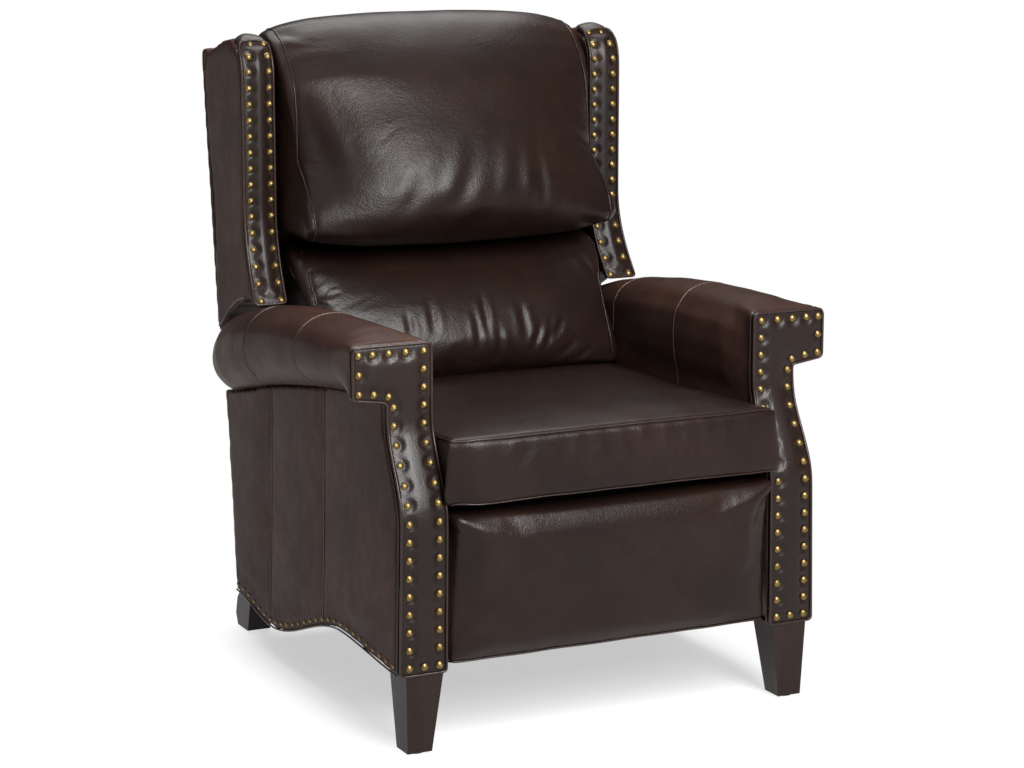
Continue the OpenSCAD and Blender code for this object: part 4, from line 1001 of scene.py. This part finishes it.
def finish_cushion(node, piece, seams):
    body = CUSHIONS[node].body
    relax(piece)
    fill_out(piece, PUSHES[node])
    rumple(piece, CREASES[node])
    ripple(piece, *CUSHION_RIPPLE, SEEDS["cushion"])
    for index, line in enumerate(seams):
        line = nearest_on(surface_tree(piece), eased(line, 2, True))
        groove(piece, line, CUSHION_SEAM_DEPTH, CUSHION_SEAM_REACH)
        welt("%s_welt_%d" % (node, index), spaced(line, WELT_STEP, True), CUSHION_WELT_RADIUS, body)
    dress(piece, body, CUSHION_LEATHER, [node])


cushions = {node: covered(node + "_leather", node, CUSHION_VOXEL, cushion.rounds)
            for node, cushion in CUSHIONS.items()}
seams = {node: seams_of(node, piece) for node, piece in cushions.items()}
for node, piece in cushions.items():
    hold(piece, seams[node])
inflate(cushions)
for node, piece in cushions.items():
    finish_cushion(node, piece, seams[node])


# Finishes of the solids that are carried over

CARRIED = {
    BRASS: ["arm_nails_*", "scallop_nails_*", "wing_nails_*"],
    LEG_WOOD: ["front_leg_*", "rear_leg_*"],
    FRAME_WOOD: ["arm_frame_*", "front_cross_rail", "rear_cross_rail", "back_frame"],
    BLACK_STEEL: ["track_*", "carriage_*", "rear_link_*", "rear_cross_link_*", "front_link_*",
                  "front_cross_link_*", "control_link_*", "footrest_bracket_*", "back_bracket_*"],
    BRIGHT_STEEL: ["leg_bolts", "seat_springs", "link_shaft"],
    CLOTH: ["dust_cover", "seat_deck", "seat_frame", "footrest_board"],
    NYLON: ["glides"],
}


def both_sides(pattern):
    return [pattern.replace("*", side) for side in SIDES] if "*" in pattern else [pattern]


for material, patterns in CARRIED.items():
    for name in (name for pattern in patterns for name in both_sides(pattern)):
        for slot in NODES[name].material_slots:
            slot.material = material


# Studio

FLOOR_REACH = 40
# The soft shadow shows inside a rounded box: its stretch to a box 1 across, where it fades and its share
SHADOW_BOX = (2.5, 2.22, 0)
SHADOW_FADE = (0.5, 1.15)
SHADOW_SHARE = 0.45


def floor():
    """Pale paper that looks white, where the chair's shadow doesn't fall, to the eye and in reflections."""
    paper = new_finish("pale_floor")
    sight = paper.add("LightPath", output="Is Camera Ray")
    glossy = paper.add("LightPath", output="Is Glossy Ray")
    through = paper.add("LightPath", output="Is Transmission Ray")
    spot = paper.place(SHADOW_BOX)
    away = sum(paper.add("SeparateXYZ", None, {"Vector": spot}, output=axis) ** 4 for axis in "XY")
    white = away.ramp(*SHADOW_FADE) * SHADOW_SHARE + (1 - SHADOW_SHARE)
    matt = paper.add("BsdfDiffuse", None, {"Color": (0.9, 0.9, 0.9, 1)})
    glow = paper.add("Emission", None, {"Color": (1, 1, 1, 1), "Strength": 1})
    paper.end(paper.add("MixShader", None, {0: sight.over(glossy).over(through) * white, 1: matt, 2: glow}))
    mesh = bpy.data.meshes.new("floor")
    corners = [(x * FLOOR_REACH, y * FLOOR_REACH, 0) for x, y in ((-1, -1), (1, -1), (1, 1), (-1, 1))]
    mesh.from_pydata(corners, [], [(0, 1, 2, 3)])
    piece = new_piece("floor", mesh)
    piece.data.materials.append(paper.owner)


LAMPS = {
    # lamp: degrees round from the front, degrees up, distance, size, watts
    "key": (3, 33, 3.0, (1.0, 2.0), 175),
    "top": (180, 66, 2.4, (2.6, 2.0), 70),
    "fill": (-66, 44, 1.9, (1.6, 1.2), 4.5),
}
LAMP_AIM = Vector((0, 0, 0.55))


def softbox(name, azimuth, elevation, distance, size, watts):
    """A rectangular lamp that looks at the middle of the chair."""
    lamp = bpy.data.lights.new(name, "AREA")
    lamp.shape = "RECTANGLE"
    lamp.size, lamp.size_y = size
    lamp.energy = watts
    holder = bpy.data.objects.new(name, lamp)
    SCENE.collection.objects.link(holder)
    turn, rise = math.radians(azimuth), math.radians(elevation)
    way = Vector((math.sin(turn) * math.cos(rise), -math.cos(turn) * math.cos(rise), math.sin(rise)))
    holder.location = LAMP_AIM + way * distance
    holder.rotation_euler = (-way).to_track_quat("-Z", "Y").to_euler()


SKY_LOW = 0.07
SKY_RISE = 0.13


def sky():
    """Dim grey all round, a little lighter overhead."""
    SCENE.world = bpy.data.worlds.new("studio")
    air = Finish(SCENE.world)
    up = air.add("SeparateXYZ", None, {"Vector": air.add("TexCoord", output="Generated")}, output="Z")
    strength = up.ramp(0.0, 1.0) * SKY_RISE + SKY_LOW
    air.end(air.add("Background", None, {"Color": (1, 1, 1, 1), "Strength": strength}), "World")


def camera():
    lens = bpy.data.cameras.new("camera")
    lens.lens = LENS_MM
    lens.sensor_width = SENSOR_MM
    holder = bpy.data.objects.new("camera", lens)
    SCENE.collection.objects.link(holder)
    holder.location = CAMERA_AT
    way = Vector(CAMERA_AIM) - Vector(CAMERA_AT)
    holder.rotation_euler = way.to_track_quat("-Z", "Y").to_euler()
    SCENE.camera = holder


floor()
for name, lamp in LAMPS.items():
    softbox(name, *lamp)
sky()
camera()
SCENE.view_settings.view_transform = "Standard"
